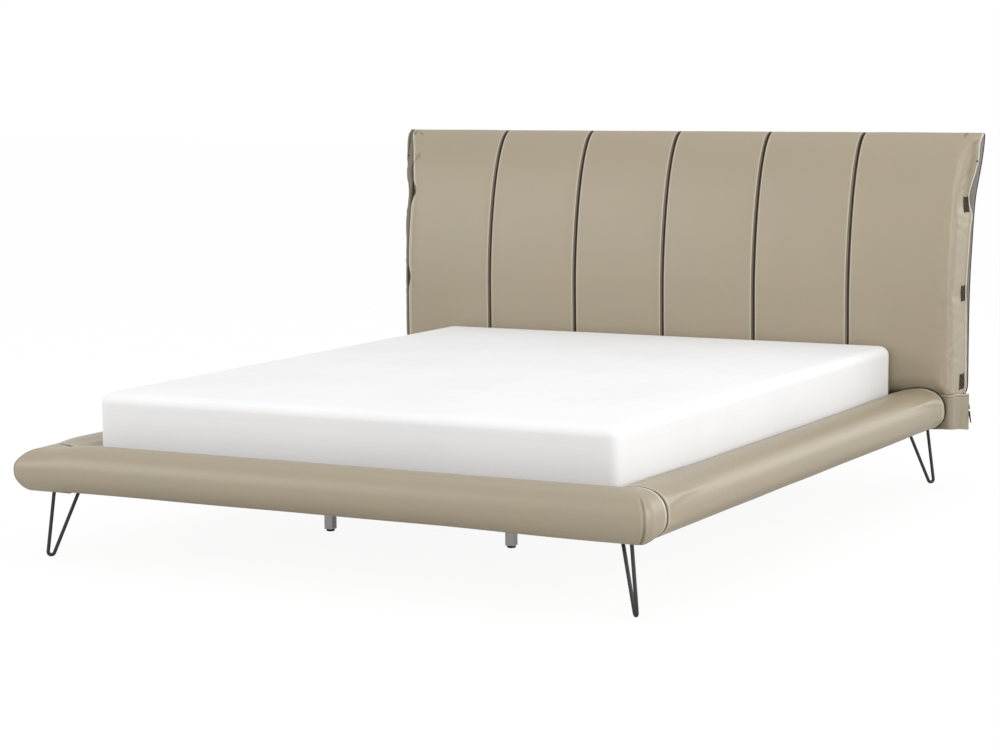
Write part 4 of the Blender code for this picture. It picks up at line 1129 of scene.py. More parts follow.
# The sewn tuck on top of the left corner: from and to in X, its height and its arch; a thin dark bead under
# it paints the shade below its fold
TUCK_ENDS = (-0.9870, -0.9550)
TUCK_Z = 1.1060
TUCK_ARCH = 0.0100
TUCK_BEAD_RADIUS = 0.0016
TUCK_SHADE_RADIUS = 0.0008


def build_back():
    """The back sheet with its dark bound side edges, which also paint the shade of its thin edge, the lining
    behind the pad's edge and the piping on top.
    """
    low, high = COVER_LOW.z, COVER_HIGH.z

    def place(u, v):
        outer = np.abs(2 * u - 1)
        dip = 0.010 * smoothstep(outer, 0.90, 1.0)
        z = low - dip + (high - low + dip) * v
        x = (2 * u - 1) * (back_half_width(z, u - 0.5) + 0.0005)
        sway = 0.0008 * ripple(x, z, 31, 0.5) * (1 - outer ** 6)
        drop = smoothstep(0.30 - z, 0.0, 0.11)
        edge = smoothstep(outer, 0.80, 1.0)
        lap = 0.0035 * np.sin(x * 42.0) * drop * (1 - edge)
        return np.stack([x, SHEET_FRONT_Y + 0.0006 + sway * 0.5 + np.maximum(lap, -0.002) * 0.3,
                         z - 0.004 * drop * edge * (1 + np.sin(x * 60.0)) * 0.5], 1)

    bm = grid_bmesh(120, 60, place)
    z = points_of(bm)[:, 2]
    # Painted shade darkens the sheet along its two hems.
    hem = bell(z - low - 0.012, 0.0012) + bell(z - 0.302, 0.0012)
    set_attribute(bm, "crease", np.clip(0.6 * hem, 0, 1))
    thicken(bm, LEATHER_THICKNESS)
    sheet = new_piece("back_sheet", bm, "taupe_leather_grain")
    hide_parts("back_cover")
    z = np.linspace(0.296, high - 0.001, 90)
    for side, sign in SIDES:
        half = back_half_width(z, sign) + 0.0004
        path = np.column_stack([sign * half, np.full(90, SHEET_FRONT_Y + 0.0013), z])
        # A dark bound edge on each side, which also paints the shade of the sheet's thin edge.
        bead("back_binding_" + side, path, BINDING_AND_SHADE_RADIUS, "dark_binding", up=(sign, 0.0, 0.0))
        build_lining(side, sign)
    ends = [float(sign * (back_half_width(high, sign) - 0.003)) for sign in (-1, 1)]
    top = np.column_stack([np.linspace(*ends, 120), np.full(120, PAD_BACK_Y - 0.0006),
                           np.full(120, PAD_TOP - 0.0019)])
    bead("top_piping", top, PIPING_RADIUS, "taupe_leather_grain")
    x = np.linspace(*TUCK_ENDS, 24)
    z = TUCK_Z + TUCK_ARCH * np.sin(np.linspace(0.0, math.pi, 24)) ** 0.8
    y = np.interp(z, PROFILE[:, 1], PROFILE[:, 0]) - 0.0010
    tuck = np.column_stack([x - 0.58 * (y - 1.100), y, z - 0.033 * (y - 1.100)])
    # A thin dark bead just below the tuck paints the shade under its fold.
    thread = tuck - np.array([0.0, 0.0010, 0.0024])
    bead("corner_tuck_left", tuck, TUCK_BEAD_RADIUS, "taupe_leather_grain")
    bead("corner_tuck_thread_left", thread, TUCK_SHADE_RADIUS, "dark_binding")


def build_lining(side, sign):
    """The lining cloth between the pad's rear edge and the back sheet, and the edge's two folded beads."""
    v = np.linspace(0.006, 0.990, 130)
    edge = edge_line(sign, v)
    z = np.clip(edge[:, 2], COVER_LOW.z, COVER_HIGH.z - 0.003)
    start = edge + np.array([-sign * 0.0080, 0.0010, 0.0])
    half = back_half_width(z, sign) - 0.0016
    finish = np.column_stack([sign * half, np.full(130, SHEET_FRONT_Y - 0.0006), z])

    def place(u, w):
        row = np.rint(w * 129).astype(int)
        share = u[:, None]
        middle = start[row] * (1 - share) + finish[row] * share
        bow = np.sin(np.pi * u) * (0.003 + 0.20 * np.linalg.norm(finish[row] - start[row], axis=1))
        bow = bow + 0.0012 * np.sin(w * 96.0 + u * 3.0) * np.sin(np.pi * u)
        middle[:, 0] -= sign * np.minimum(bow, 0.009)
        return middle

    bm = grid_bmesh(8, 129, place)
    thicken(bm, LINING_THICKNESS)
    lining = new_piece("gap_lining_" + side, bm, "dark_lining")
    v = np.linspace(0.004, 0.999, 150)
    line = edge_line(sign, v)
    ahead = pad_surface(np.full(150, 0.985 if sign > 0 else 0.015), v)
    out = unit(np.cross(np.gradient(line, axis=0), line - ahead) * sign)
    lap = unit(line - ahead)
    finish = "rubbed_edge" if sign > 0 else "taupe_leather_grain"
    for number, shift in ((1, 0.0004), (2, 0.0034)):
        bead(f"edge_fold_{side}_{number}", line + lap * shift, EDGE_FOLD_RADIUS, finish, flat=0.9, up=out)


TIE_PITCH = 0.0145
EYELET_RADIUS = 0.0034
EYELET_WIRE = 0.0010
SNAP_RADIUS = 0.0022
SNAP_WIRE = 0.0014
SNAP_Z = 1.0290
SNAP_INSETS = {-1.0: 0.0700, 1.0: 0.0110}
TIE_LACE_HALF = 0.0021
TIE_BAR_HALF = 0.0040
TIE_LACE_THICKNESS = 0.0008


def add_ring(rings, surface, sign, place, radius, wire, lift):
    """Add a metal ring that lies on the cushion's side at a place in Y and Z."""
    spot, out = on_side(surface, sign, *place)
    turn = out.to_track_quat("Z", "Y").to_matrix().to_4x4()
    joined(rings, ring_bmesh(radius, wire), Matrix.Translation(spot + out * lift) @ turn)


def build_ties():
    """The six side ties: crossed laces and upright bars between two columns of eyelets."""
    pad = bpy.data.objects["headboard_pad"]
    surface = BVHTree.FromObject(pad, bpy.context.evaluated_depsgraph_get())
    for side, sign in SIDES:
        rings = bmesh.new()
        for index, (height, columns) in enumerate(zip(TIE_HEIGHTS, TIE_COLUMNS[side])):
            tie = bmesh.new()
            rows = [height + TIE_PITCH * (1.5 - row) for row in range(4)]
            for row in range(3):
                for near, far, lift in ((0, 1, 0.0), (1, 0, 0.0013)):
                    ends = (columns[near], rows[row]), (columns[far], rows[row + 1])
                    lace_over(tie, surface, sign, *ends, lift)
            for y in (columns[0], sum(columns) / 2, columns[1]):
                lace_over(tie, surface, sign, (y, rows[0]), (y, rows[3]), 0.0004, TIE_BAR_HALF)
            for row in (0, 3):
                lace_over(tie, surface, sign, (columns[0], rows[row]), (columns[1], rows[row]), 0.0006)
            for row in rows:
                for y in columns:
                    add_ring(rings, surface, sign, (y, row), EYELET_RADIUS, EYELET_WIRE, 0.0004)
            made = new_piece(f"laced_tie_{side}_{index + 1}", tie, "seam_lace")
            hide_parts(f"side_tie_{side}_{index + 1}")
        snap = (SHEET_FRONT_Y - SNAP_INSETS[sign], SNAP_Z)
        add_ring(rings, surface, sign, snap, SNAP_RADIUS, SNAP_WIRE, 0.0008)
        new_piece("tie_eyelets_" + side, rings, "black_metal")


def on_side(surface, sign, y, z):
    """Point and outward direction of the cushion's side at a place in Y and Z."""
    spot, out, _, _ = surface.ray_cast(Vector((sign * 1.3, y, z)), Vector((-sign, 0.0, 0.0)))
    if spot is None:
        raise RuntimeError(f"the side of the cushion has no point at {y:.3f}, {z:.3f}")
    return spot, out if out.x * sign > 0 else -out


def lace_over(tie, surface, sign, first, second, lift, wide=TIE_LACE_HALF):
    """Add one flat lace that lies over the cushion's side from an eyelet to another."""
    points, overs = [], []
    for share in np.linspace(0.0, 1.0, 9):
        spot, out = on_side(surface, sign, first[0] + (second[0] - first[0]) * share,
                            first[1] + (second[1] - first[1]) * share)
        arch = math.sin(math.pi * share)
        points.append(spot + out * (0.0004 + 0.0010 * min(1.0, 3 * arch) + lift * arch ** 2))
        overs.append(out)
    joined(tie, sweep_bmesh(points, ring_section(wide, 8, TIE_LACE_THICKNESS / wide), up=np.array(overs)))


def ring_bmesh(radius, thickness, steps=14, sides=6):
    """A ring in the XY plane about the origin."""
    turns = np.linspace(0, 2 * math.pi, steps, endpoint=False)
    path = np.column_stack([radius * np.cos(turns), radius * np.sin(turns), np.zeros(steps)])
    return sweep_bmesh(path, ring_section(thickness, sides), closed_path=True)


SKIRT_TOP = 0.2995
SKIRT_HEM = 0.1895
SKIRT_RADIUS = 0.016
# The skirt's top and hem fall a little towards its rear end
SKIRT_TOP_FALL = 0.009
SKIRT_HEM_FALL = 0.014
TAB_X = 0.9990
TAB_Y = 1.1724
TAB_THICKNESS = 0.0012
# Tabs that close the skirt behind: middle height, length, width at the top and at the foot, lean
TABS = ((0.2480, 0.016, 0.0040, 0.0068, 0.0), (0.2145, 0.038, 0.0068, 0.0030, 0.0085))


def skirt_plan(sign):
    """Plan of a skirt from the end of its front flap round the corner to the back, and its length."""
    outer = PAD_HALF - 0.0014
    low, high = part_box("skirt_right")
    front = PAD_FRONT_Y + PAD_LOWER_DRAW + 0.38 * PAD_BOTTOM_RADIUS + LEATHER_THICKNESS
    turn = np.linspace(-math.pi / 2, 0.0, 9)
    corner = np.column_stack([outer - SKIRT_RADIUS + SKIRT_RADIUS * np.cos(turn),
                              front + SKIRT_RADIUS + SKIRT_RADIUS * np.sin(turn)])
    plan, length = evenly(np.concatenate([[[low.x, front]], corner, [[outer, 1.12],
                                          [outer + 0.0110, high.y + 0.0045]]]), 400)
    return plan * (sign, 1.0), length


def build_skirts():
    """The loose skirts below the cushion, with soft folds, a stitched hem, a seam along the top and painted
    shade all over.
    """
    columns, rows = 110, 60
    for side, sign in SIDES:
        plan, length = skirt_plan(sign)
        slope = unit(np.gradient(plan, axis=0))
        outward = np.column_stack([slope[:, 1], -slope[:, 0]]) * sign

        def place(u, v):
            spot = np.rint(u * (len(plan) - 1)).astype(int)
            drop = 1 - v
            wave = 0.0022 * np.sin(u * 15.0 + 0.4) + 0.0007 * np.sin(u * 37.0 + 2.0 * drop)
            stitches = 0.0005 * bell(v - 0.055, 0.012) - 0.0009 * bell(v - 0.93, 0.02)
            swing = (wave - 0.0020) * drop ** 1.3 + stitches
            hem = SKIRT_HEM + 0.0012 * np.sin(u * 15.0 + 2.0) - SKIRT_HEM_FALL * smoothstep(u, 0.45, 1.0)
            top = SKIRT_TOP - SKIRT_TOP_FALL * smoothstep(u, 0.52, 1.0)
            return np.column_stack([plan[spot] + outward[spot] * swing[:, None], hem + (top - hem) * v])

        bm = grid_bmesh(columns, rows, place)
        v = np.repeat(np.linspace(0, 1, rows + 1), columns + 1)
        # Painted shade over the whole skirt, deeper along its top seam and its hem.
        seam = bell(v - 0.935, 0.008) + 0.8 * bell(v - 0.06, 0.006)
        set_attribute(bm, "crease", np.clip(0.5 * seam + 0.22, 0, 1))
        # Rubbed light edges with painted highlights along the top and the hem.
        set_attribute(bm, "rub", np.clip(0.5 * bell(v - 0.985, 0.012) + 0.35 * bell(v, 0.010), 0, 1))
        thicken(bm, -LEATHER_THICKNESS * sign)
        skirt = new_piece("hung_skirt_" + side, bm, "taupe_leather_grain")
        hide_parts("skirt_" + side)
        for number, (height, size, top_width, foot_width, lean) in enumerate(TABS):

            def tab_place(u, v):
                drop = 1 - v
                x = TAB_X + lean * drop + (top_width + (foot_width - top_width) * drop) * u
                return np.column_stack([sign * x, np.full(len(u), TAB_Y), height + size * (v - 0.5)])

            tab = grid_bmesh(2, 8, tab_place)
            thicken(tab, TAB_THICKNESS)
            new_piece(f"closing_tab_{side}_{number + 1}", tab, "black_felt")


class BED_OT_headboard_pad(bpy.types.Operator):
    """Sew the padded front of the headboard"""
    bl_idname = "bed.headboard_pad"
    bl_label = "Headboard pad"

    def execute(self, context):
        build_pad()
        return {"FINISHED"}


class BED_OT_headboard_seams(bpy.types.Operator):
    """Lace the five seams of the headboard"""
    bl_idname = "bed.headboard_seams"
    bl_label = "Laced seams"

    def execute(self, context):
        build_seams()
        return {"FINISHED"}


class BED_OT_headboard_back(bpy.types.Operator):
    """Stretch the back sheet and line the gap beside it"""
    bl_idname = "bed.headboard_back"
    bl_label = "Headboard back"

    def execute(self, context):
        build_back()
        return {"FINISHED"}


class BED_OT_side_ties(bpy.types.Operator):
    """Lace the ties on both sides of the headboard"""
    bl_idname = "bed.side_ties"
    bl_label = "Side ties"

    def execute(self, context):
        if "headboard_pad" not in bpy.data.objects:
            raise RuntimeError("sew the headboard pad first")
        build_ties()
        return {"FINISHED"}


class BED_OT_skirts(bpy.types.Operator):
    """Hang the skirts below the headboard pad"""
    bl_idname = "bed.skirts"
    bl_label = "Skirts"

    def execute(self, context):
        build_skirts()
        return {"FINISHED"}


# Rolls


def roll_height(share):
    """Height of a roll's inner slope above its middle at a share of its reach."""
    return ROLL_HALF_HEIGHT * superellipse(share, ROLL_INNER_POWER)


ROLL_DROP = ROLL_CENTRE_Z - SIDE_LOW.z
BEAM_GAP = 0.0004
BEAM_OUTER = BEAM_HIGH.x + BEAM_GAP
BEAM_CAP = BEAM_HIGH.z + BEAM_GAP
CORNER_SEAM_REACH = 0.0675
JOINT_ROUND = 0.0045
JOINT_SHADE = 0.0048
# The stitched welt near a side roll's rear end, and the black felt ring behind it that paints the contact
# shadow round the end
WELT_PLACE = 0.0140
WELT_DEPTH = 0.0012
END_SHADOW_HALF = 0.0014
END_SHADOW_RISE = 0.0024
END_SHADOW_DEPTH = 0.0016
END_SHADOW_SETBACK = 0.0015
ROLL_WAVE = 0.0009


def corner_slump(x, y):
    """How far the filling has sunk at plan points, from 1 at the left front corner to 0."""
    gone = np.hypot(np.maximum(RIDGE_X - np.abs(x), 0.0), y - RIDGE_Y)
    return (1 - smoothstep(gone, 0.0, CORNER_REACH)) * (x < 0)


def corner_sunk(slump, z):
    """How far points above the roll's middle have come down where the filling has sunk."""
    return CORNER_DROP * slump * smoothstep(z, ROLL_CENTRE_Z, ROLL_CENTRE_Z + 0.05)


def underside_lift(z, beyond):
    """How far the roll's underside stands up outside its beam."""
    return ROLL_LIFT * smoothstep(ROLL_CENTRE_Z - z, 0.0, 0.05) * smoothstep(beyond, 0.005, 0.04)


def corner_worn(height):
    """Share of the reach at heights of the left front corner, whose filling has sunk."""
    lift = (height - ROLL_CENTRE_Z) / ROLL_HALF_HEIGHT
    low = superellipse(np.abs(lift), CORNER_LOW_POWER)
    return np.where(lift > 0, superellipse(np.abs(lift), CORNER_TOP_POWER), low)


def outer_turns(count):
    """Shares and heights of the outer side of a roll from its ridge to its flat underside."""
    end = -math.asin((ROLL_DROP / ROLL_HALF_HEIGHT) ** (ROLL_POWER / 2))
    turns = np.linspace(math.pi / 2, end, count)
    power = 2 / ROLL_POWER
    heights = np.sign(np.sin(turns)) * ROLL_HALF_HEIGHT * np.abs(np.sin(turns)) ** power
    return np.abs(np.cos(turns)) ** power, ROLL_CENTRE_Z + heights


def end_round(distance):
    """How far a padded roll is drawn in near its end."""
    near = np.clip(JOINT_ROUND - distance, 0.0, JOINT_ROUND)
    return JOINT_ROUND - np.sqrt(JOINT_ROUND ** 2 - near ** 2)


def side_section():
    """Closed section of a side roll as (across, height), and which points are the soft face."""
    shares, heights = outer_turns(30)
    outer = [(RIDGE_X + SIDE_RIDGE * share, height) for share, height in zip(shares, heights)]
    reach = RIDGE_X - INNER_X + ROLL_INNER_REACH
    limit = (RIDGE_X - INNER_X) / reach
    end = math.acos(limit ** (ROLL_INNER_POWER / 2))
    turns = np.linspace(end, math.pi / 2, 16)[:-1]
    power = 2 / ROLL_INNER_POWER
    inner = [(RIDGE_X - reach * math.cos(turn) ** power,
              ROLL_CENTRE_Z + ROLL_HALF_HEIGHT * math.sin(turn) ** power) for turn in turns]
    notch = [(BEAM_OUTER, SIDE_LOW.z), (BEAM_OUTER, BEAM_CAP), (INNER_X, BEAM_CAP)]
    section = inner + outer + notch
    soft = [True] * (len(inner) + len(outer)) + [False] * len(notch)
    return np.array(section), np.array(soft)


def build_side_roll(name, sign):
    """A side roll: soft over its beam, square at the joint and ending against the headboard."""
    section, soft = side_section()
    count = len(section)
    start, end = JOINTS[sign] + SIDE_LOW.y - ROLL_HIGH.y, SIDE_HIGH.y + END_REACH
    ends = JOINT_ROUND * (1 - np.cos(np.linspace(0, math.pi / 2, 6)))
    welt = end - WELT_PLACE - np.array([-0.003, -0.0012, 0.0, 0.0012, 0.003])
    even = np.linspace(start + 0.012, end - 0.022, 190)
    stations = np.sort(np.concatenate([start + ends, end - ends, welt, even]))
    rows = len(stations) - 1
    centre = np.array([RIDGE_X, ROLL_CENTRE_Z])

    def base(u, v):
        spot = np.rint(u * count).astype(int) % count
        along = np.interp(v, np.linspace(0, 1, rows + 1), stations)
        return np.stack([sign * section[spot, 0], along, section[spot, 1]], 1)

    def held(u, v):
        spot = np.rint(u * count).astype(int) % count
        return ~soft[spot] | (v < 0.004) | (v > 0.996) | (spot < 2) | (spot > soft.sum() - 3)

    moves = swell(name + "_swell", count, 120, base, held, 2.2 * (1 if sign < 0 else -1), 0.004)
    bm = grid_bmesh(count, rows, base)
    column = np.arange(len(bm.verts)) % (count + 1)
    spot, row = column % count, np.arange(len(bm.verts)) // (count + 1)
    across, height = section[spot].T
    near, far = stations[row] - start, end - stations[row]
    skin = soft[spot].astype(float)
    outward = unit(np.stack([sign * (across - centre[0]), np.zeros(len(spot)), height - centre[1]], 1))
    turn = np.arctan2(height - centre[1], across - centre[0])
    inward = end_round(near) + end_round(far)
    inward += 0.0018 * np.sin(turn * 5 + near * 26 + 1.3) * bell(near - 0.055, 0.045) * bell(turn - 2.2, 0.7)
    inward += 0.0010 * np.sin(turn * 4 - far * 40) * bell(far - 0.05, 0.05)
    inward += ROLL_WAVE * ripple(stations[row], turn * 0.07, 3 if sign > 0 else 4, 0.42)
    inward += WELT_DEPTH * (bell(far - WELT_PLACE, 0.0012) - 0.5 * bell(far - WELT_PLACE - 0.003, 0.002))
    v = row / rows
    points = points_of(bm) + sampled(moves, column / count, v) * (1 - smoothstep(v, 0.98, 1.0))[:, None]
    points = points - outward * (inward * skin)[:, None]
    if sign < 0:
        slump = corner_slump(points[:, 0], stations[row]) * skin
        even = superellipse(np.abs(height - ROLL_CENTRE_Z) / ROLL_HALF_HEIGHT, ROLL_POWER)
        fuller = np.where(np.abs(points[:, 0]) > RIDGE_X, SIDE_RIDGE * (corner_worn(height) - even), 0.0)
        points[:, 0] -= fuller * slump
        points[:, 2] -= corner_sunk(slump, height)
    beyond = np.abs(points[:, 0]) - BEAM_OUTER
    points[:, 2] += underside_lift(points[:, 2], beyond) * skin
    points[:, 0] += sign * END_BULGE * skin * smoothstep(beyond, 0.0, 0.05) * bell(far, 0.045)
    move_points(bm, points)
    # Painted shade at the joint and a painted contact shadow at the rear end; painted highlights beside the
    # joint and on the welt.
    dark = bell(near, JOINT_SHADE) + 1 - smoothstep(far, 0.0015, 0.0048)
    light = 0.9 * bell(near - 0.0090, 0.0026) + 0.6 * bell(far - WELT_PLACE, 0.0022)
    set_attribute(bm, "crease", skin * np.clip(dark, 0, 1))
    set_attribute(bm, "rub", skin * np.clip(light, 0, 1))
    bmesh.ops.remove_doubles(bm, verts=bm.verts, dist=WELD)
    fill_rims(bm)
    made = new_piece(name + "_padding", bm, "taupe_leather_grain", sharp=50)
    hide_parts(name)
    build_end_shadow(name, sign, section[soft], end - END_SHADOW_SETBACK)


def build_end_shadow(name, sign, section, y):
    """The dark felt ring round the rear end of a side roll, which paints the contact shadow against the
    headboard.
    """
    if sign < 0:
        section = section[::-1]
    beyond = section[:, 0] - BEAM_OUTER
    rim = np.column_stack([sign * (section[:, 0] + END_BULGE * smoothstep(beyond, 0.0, 0.05)),
                           np.full(len(section), y), section[:, 1] + underside_lift(section[:, 1], beyond)])
    out = rim - np.array([sign * RIDGE_X, y, ROLL_CENTRE_Z])
    band = flat_section(END_SHADOW_HALF, -END_SHADOW_DEPTH, END_SHADOW_RISE)
    new_piece(name + "_collar", sweep_bmesh(rim, band, up=out), "black_felt")


def foot_path(count_side, count_corner, count_front):
    """Shares along the foot roll from its left joint round both corners to its right joint."""
    lengths = (count_side, count_corner, count_front, count_corner, count_side)
    kinds = []
    for kind, count in enumerate(lengths):
        kinds += [(kind, step / count) for step in range(count)]
    return kinds + [(4, 1.0)]


def foot_ring(kinds, reach_x, reach_y, radius):
    """Plan points of a ring of the foot roll at an offset from its ridge, one for each place on the path."""
    side, front = RIDGE_X + reach_x, RIDGE_Y - reach_y
    points = []
    for kind, share in kinds:
        mirrored = kind in (0, 1) or (kind == 2 and share < 0.5)
        if kind in (0, 4):
            way = 1 - share if kind == 0 else share
            x, y = side, front + radius + (JOINTS[-1.0 if mirrored else 1.0] - front - radius) * way
        elif kind in (1, 3):
            turn = math.pi / 2 * (share if kind == 3 else 1 - share)
            x = side - radius + radius * math.sin(turn)
            y = front + radius - radius * math.cos(turn)
        else:
            x, y = abs(2 * share - 1) * (side - radius), front
        points.append((-x if mirrored else x, y))
    return np.array(points)


def foot_inner_share(x, y):
    """Share of the foot roll's inner slope at a plan point, blended at its inner corners."""
    behind = ROLL_HIGH.y - RIDGE_Y + ROLL_INNER_REACH
    inside = RIDGE_X - INNER_X + ROLL_INNER_REACH
    front = np.clip((y - RIDGE_Y) / behind, 0, 1)
    side = np.clip((RIDGE_X - np.abs(x)) / inside, 0, 1)
    soft = 0.10
    mix = np.clip(0.5 + 0.5 * (side - front) / soft, 0, 1)
    return side * (1 - mix) + front * mix - soft * mix * (1 - mix)


def foot_inner(kinds, ridge):
    """Plan points of the foot roll's inner edge, one for each place on its ridge."""
    inner = []
    for (kind, _), (x, y) in zip(kinds, ridge):
        depth = JOINTS[math.copysign(1.0, x)] - RIDGE_Y
        if kind in (0, 4):
            x = math.copysign(RIDGE_X - (y - RIDGE_Y) / depth * (RIDGE_X - INNER_X), x)
        elif kind == 2:
            y = RIDGE_Y + depth * np.clip((RIDGE_X - abs(x)) / (RIDGE_X - INNER_X), 0, 1)
        inner.append((x, y))
    return np.array(inner)


def foot_rings(kinds, ridge):
    """Rings of the foot roll, from its inner edge over its ridge, down its outer side and round its beam.

    Gives the rings' points, how many lie on the soft face, and each ring's reach in front of the ridge.
    """
    slump = corner_slump(ridge[:, 0], ridge[:, 1])
    inner = foot_inner(kinds, ridge)
    rings, reaches = [], []
    for step in np.linspace(1.0, 0.0, 13)[:-1]:
        plan = ridge + (inner - ridge) * step ** 1.2
        share = foot_inner_share(plan[:, 0], plan[:, 1])
        height = ROLL_CENTRE_Z + roll_height(share) - CORNER_DROP * corner_slump(plan[:, 0], plan[:, 1])
        rings.append(np.column_stack([plan, height]))
        reaches.append(0.0)
    for share, height in zip(*outer_turns(34)):
        plan = foot_ring(kinds, SIDE_RIDGE * share, FOOT_RIDGE * share, ROLL_CORNER * share)
        full = float(corner_worn(height))
        worn = foot_ring(kinds, SIDE_RIDGE * full, FOOT_RIDGE * full, ROLL_CORNER * share)
        plan = plan + (worn - plan) * slump[:, None]
        rings.append(np.column_stack([plan, height - corner_sunk(slump, height)]))
        reaches.append(share)
    soft = len(rings)
    notch = foot_ring(kinds, FOOT_BEAM_HIGH.x + BEAM_GAP - RIDGE_X, RIDGE_Y - FOOT_BEAM_LOW.y + BEAM_GAP, 0.0)
    for plan, height in ((notch, ROLL_LOW.z), (notch, BEAM_CAP), (inner, BEAM_CAP)):
        rings.append(np.column_stack([plan, np.full(len(kinds), height)]))
        reaches.append(1.0)
    return np.array(rings), soft, np.array(reaches)


def build_foot_roll():
    """The foot roll, which turns both front corners and ends in a joint with each side roll."""
    kinds = foot_path(14, 18, 220)
    count = len(kinds)
    ridge = foot_ring(kinds, 0.0, 0.0, 0.0)
    table, soft, reaches = foot_rings(kinds, ridge)
    depth = len(table)

    def base(u, v):
        return table[np.rint(v * depth).astype(int) % depth, np.rint(u * (count - 1)).astype(int)]

    bm = grid_bmesh(count - 1, depth, base)
    row = np.arange(len(bm.verts)) // count % depth
    points = points_of(bm)
    x, y, z = points.T
    centre = np.column_stack([ridge[np.arange(len(bm.verts)) % count], np.full(len(points), ROLL_CENTRE_Z)])
    outward = unit(points - centre)
    skin = (row < soft).astype(float)
    near = np.where(x < 0, JOINTS[-1.0], JOINTS[1.0]) - y
    outer = 0.25 + 0.75 * smoothstep(np.abs(x) - RIDGE_X, -0.010, 0.030)
    outer = np.where(np.abs(x) > INNER_X + 0.002, outer, 0.0)
    turn = np.arctan2(z - ROLL_CENTRE_Z, RIDGE_Y - y)
    inward = outer * end_round(np.maximum(near, 0.0)) + ROLL_WAVE * ripple(x, turn * 0.07, 8, 0.5)
    gap = np.abs(x) - RIDGE_X - CORNER_SEAM_REACH * reaches[row]
    on_front = smoothstep(RIDGE_Y - y, 0.0, 0.03)
    on_front = on_front * (1 - smoothstep(z, ROLL_CENTRE_Z + 0.046, ROLL_CENTRE_Z + 0.064))
    lips = bell(gap - 0.006, 0.003) + bell(gap + 0.006, 0.003)
    inward += on_front * (0.0011 * bell(gap, 0.0014) - 0.0003 * lips)
    points = points - outward * (inward * skin)[:, None]
    x, y, z = points.T
    on_side = smoothstep(y - RIDGE_Y, -0.02, 0.02)
    at_right = 1 - smoothstep(x, 0.30, 0.80) * (1 - on_side)
    at_left = 1 - 0.45 * smoothstep(-x, 0.80, 0.86) + 0.8 * smoothstep(-x, 0.93, 0.97)
    beyond = np.maximum(np.abs(x) - BEAM_OUTER, FOOT_BEAM_LOW.y - y)
    points[:, 2] += underside_lift(z, beyond) * skin * at_right * at_left
    move_points(bm, points)
    # Painted shade in the corner seams, deeper low down, and at the joints; painted highlights beside the
    # joints and faint ones on the corner welts.
    low = smoothstep(ROLL_CENTRE_Z - points[:, 2], -0.01, 0.03)
    corner_seam_shade = on_front * (0.8 * bell(gap, 0.0015) + 0.22 * low * bell(gap, 0.010))
    welts = on_front * (bell(gap - 0.0065, 0.0022) + bell(gap + 0.0065, 0.0022))
    set_attribute(bm, "crease", skin * np.clip(outer * bell(near, JOINT_SHADE) + corner_seam_shade, 0, 1))
    set_attribute(bm, "rub", skin * np.clip(0.95 * outer * bell(near - 0.0085, 0.0030) + 0.10 * welts, 0, 1))
    bmesh.ops.remove_doubles(bm, verts=bm.verts, dist=WELD)
    fill_rims(bm)
    made = new_piece("foot_roll_padding", bm, "taupe_leather_grain", sharp=55)
    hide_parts("foot_bolster")


class BED_OT_rolls(bpy.types.Operator):
    """Sew the padded rolls round the base"""
    bl_idname = "bed.rolls"
    bl_label = "Padded rolls"

    def execute(self, context):
        build_foot_roll()
        for side, sign in SIDES:
            build_side_roll("side_bolster_" + side, sign)
        return {"FINISHED"}


# Mattress


MATTRESS_CUTS = 84
MATTRESS_EDGE = 0.030
MATTRESS_CROWN = 0.014
MATTRESS_WAIST = 0.006
MATTRESS_WAVE = 0.0012


def build_mattress():
    """The loose mattress: crowned top, soft edges and slightly hollow sides."""
    low, high = MATTRESS_LOW, MATTRESS_HIGH
    middle = (low + high) / 2
    half = np.array((high - low) / 2)
    half[2] -= MATTRESS_CROWN / 2
    bm = bmesh.new()
    bm.loops.layers.uv.new("UVMap")
    bmesh.ops.create_cube(bm, size=2.0, calc_uvs=True)
    bmesh.ops.subdivide_edges(bm, edges=bm.edges, cuts=MATTRESS_CUTS, use_grid_fill=True)
    cube = points_of(bm)
    box = np.sign(cube) * (1 - (1 - np.abs(cube)) ** 1.35) * half
    inner = np.clip(box, MATTRESS_EDGE - half, half - MATTRESS_EDGE)
    reach = box - inner
    points = inner + unit(reach) * np.max(np.abs(reach), axis=1, keepdims=True)
    across, along, up = (points / half).T
    waist = MATTRESS_WAIST * (1 - np.clip(np.abs(up), 0, 1) ** 2)
    on_x = smoothstep(np.abs(across), 0.93, 1.0) * smoothstep(1 - np.abs(along), 0.0, 0.06)
    on_y = smoothstep(np.abs(along), 0.94, 1.0) * smoothstep(1 - np.abs(across), 0.0, 0.06)
    points[:, 0] -= np.sign(across) * waist * on_x
    points[:, 1] -= np.sign(along) * waist * on_y
    top = smoothstep(points[:, 2], half[2] - MATTRESS_EDGE, half[2])
    rise = 1 - np.maximum(np.abs(across), np.abs(along) ** 1.6) ** 2.2
    points[:, 2] += MATTRESS_CROWN * top * np.clip(rise, 0, 1)
    waves = ripple(points[:, 0], points[:, 1], 21, 0.7)
    points[:, 2] -= MATTRESS_WAVE * waves * top * np.clip(rise * 3, 0, 1)
    move_points(bm, points + np.array([middle.x, middle.y, low.z + half[2]]))
    bmesh.ops.recalc_face_normals(bm, faces=bm.faces)
    made = new_piece("mattress_cover", bm, "mattress_cloth", body="mattress")
    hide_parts("mattress")


class BED_OT_mattress(bpy.types.Operator):
    """Lay the loose mattress on the slats"""
    bl_idname = "bed.mattress"
    bl_label = "Mattress"

    def execute(self, context):
        build_mattress()
        return {"FINISHED"}


# Hardware


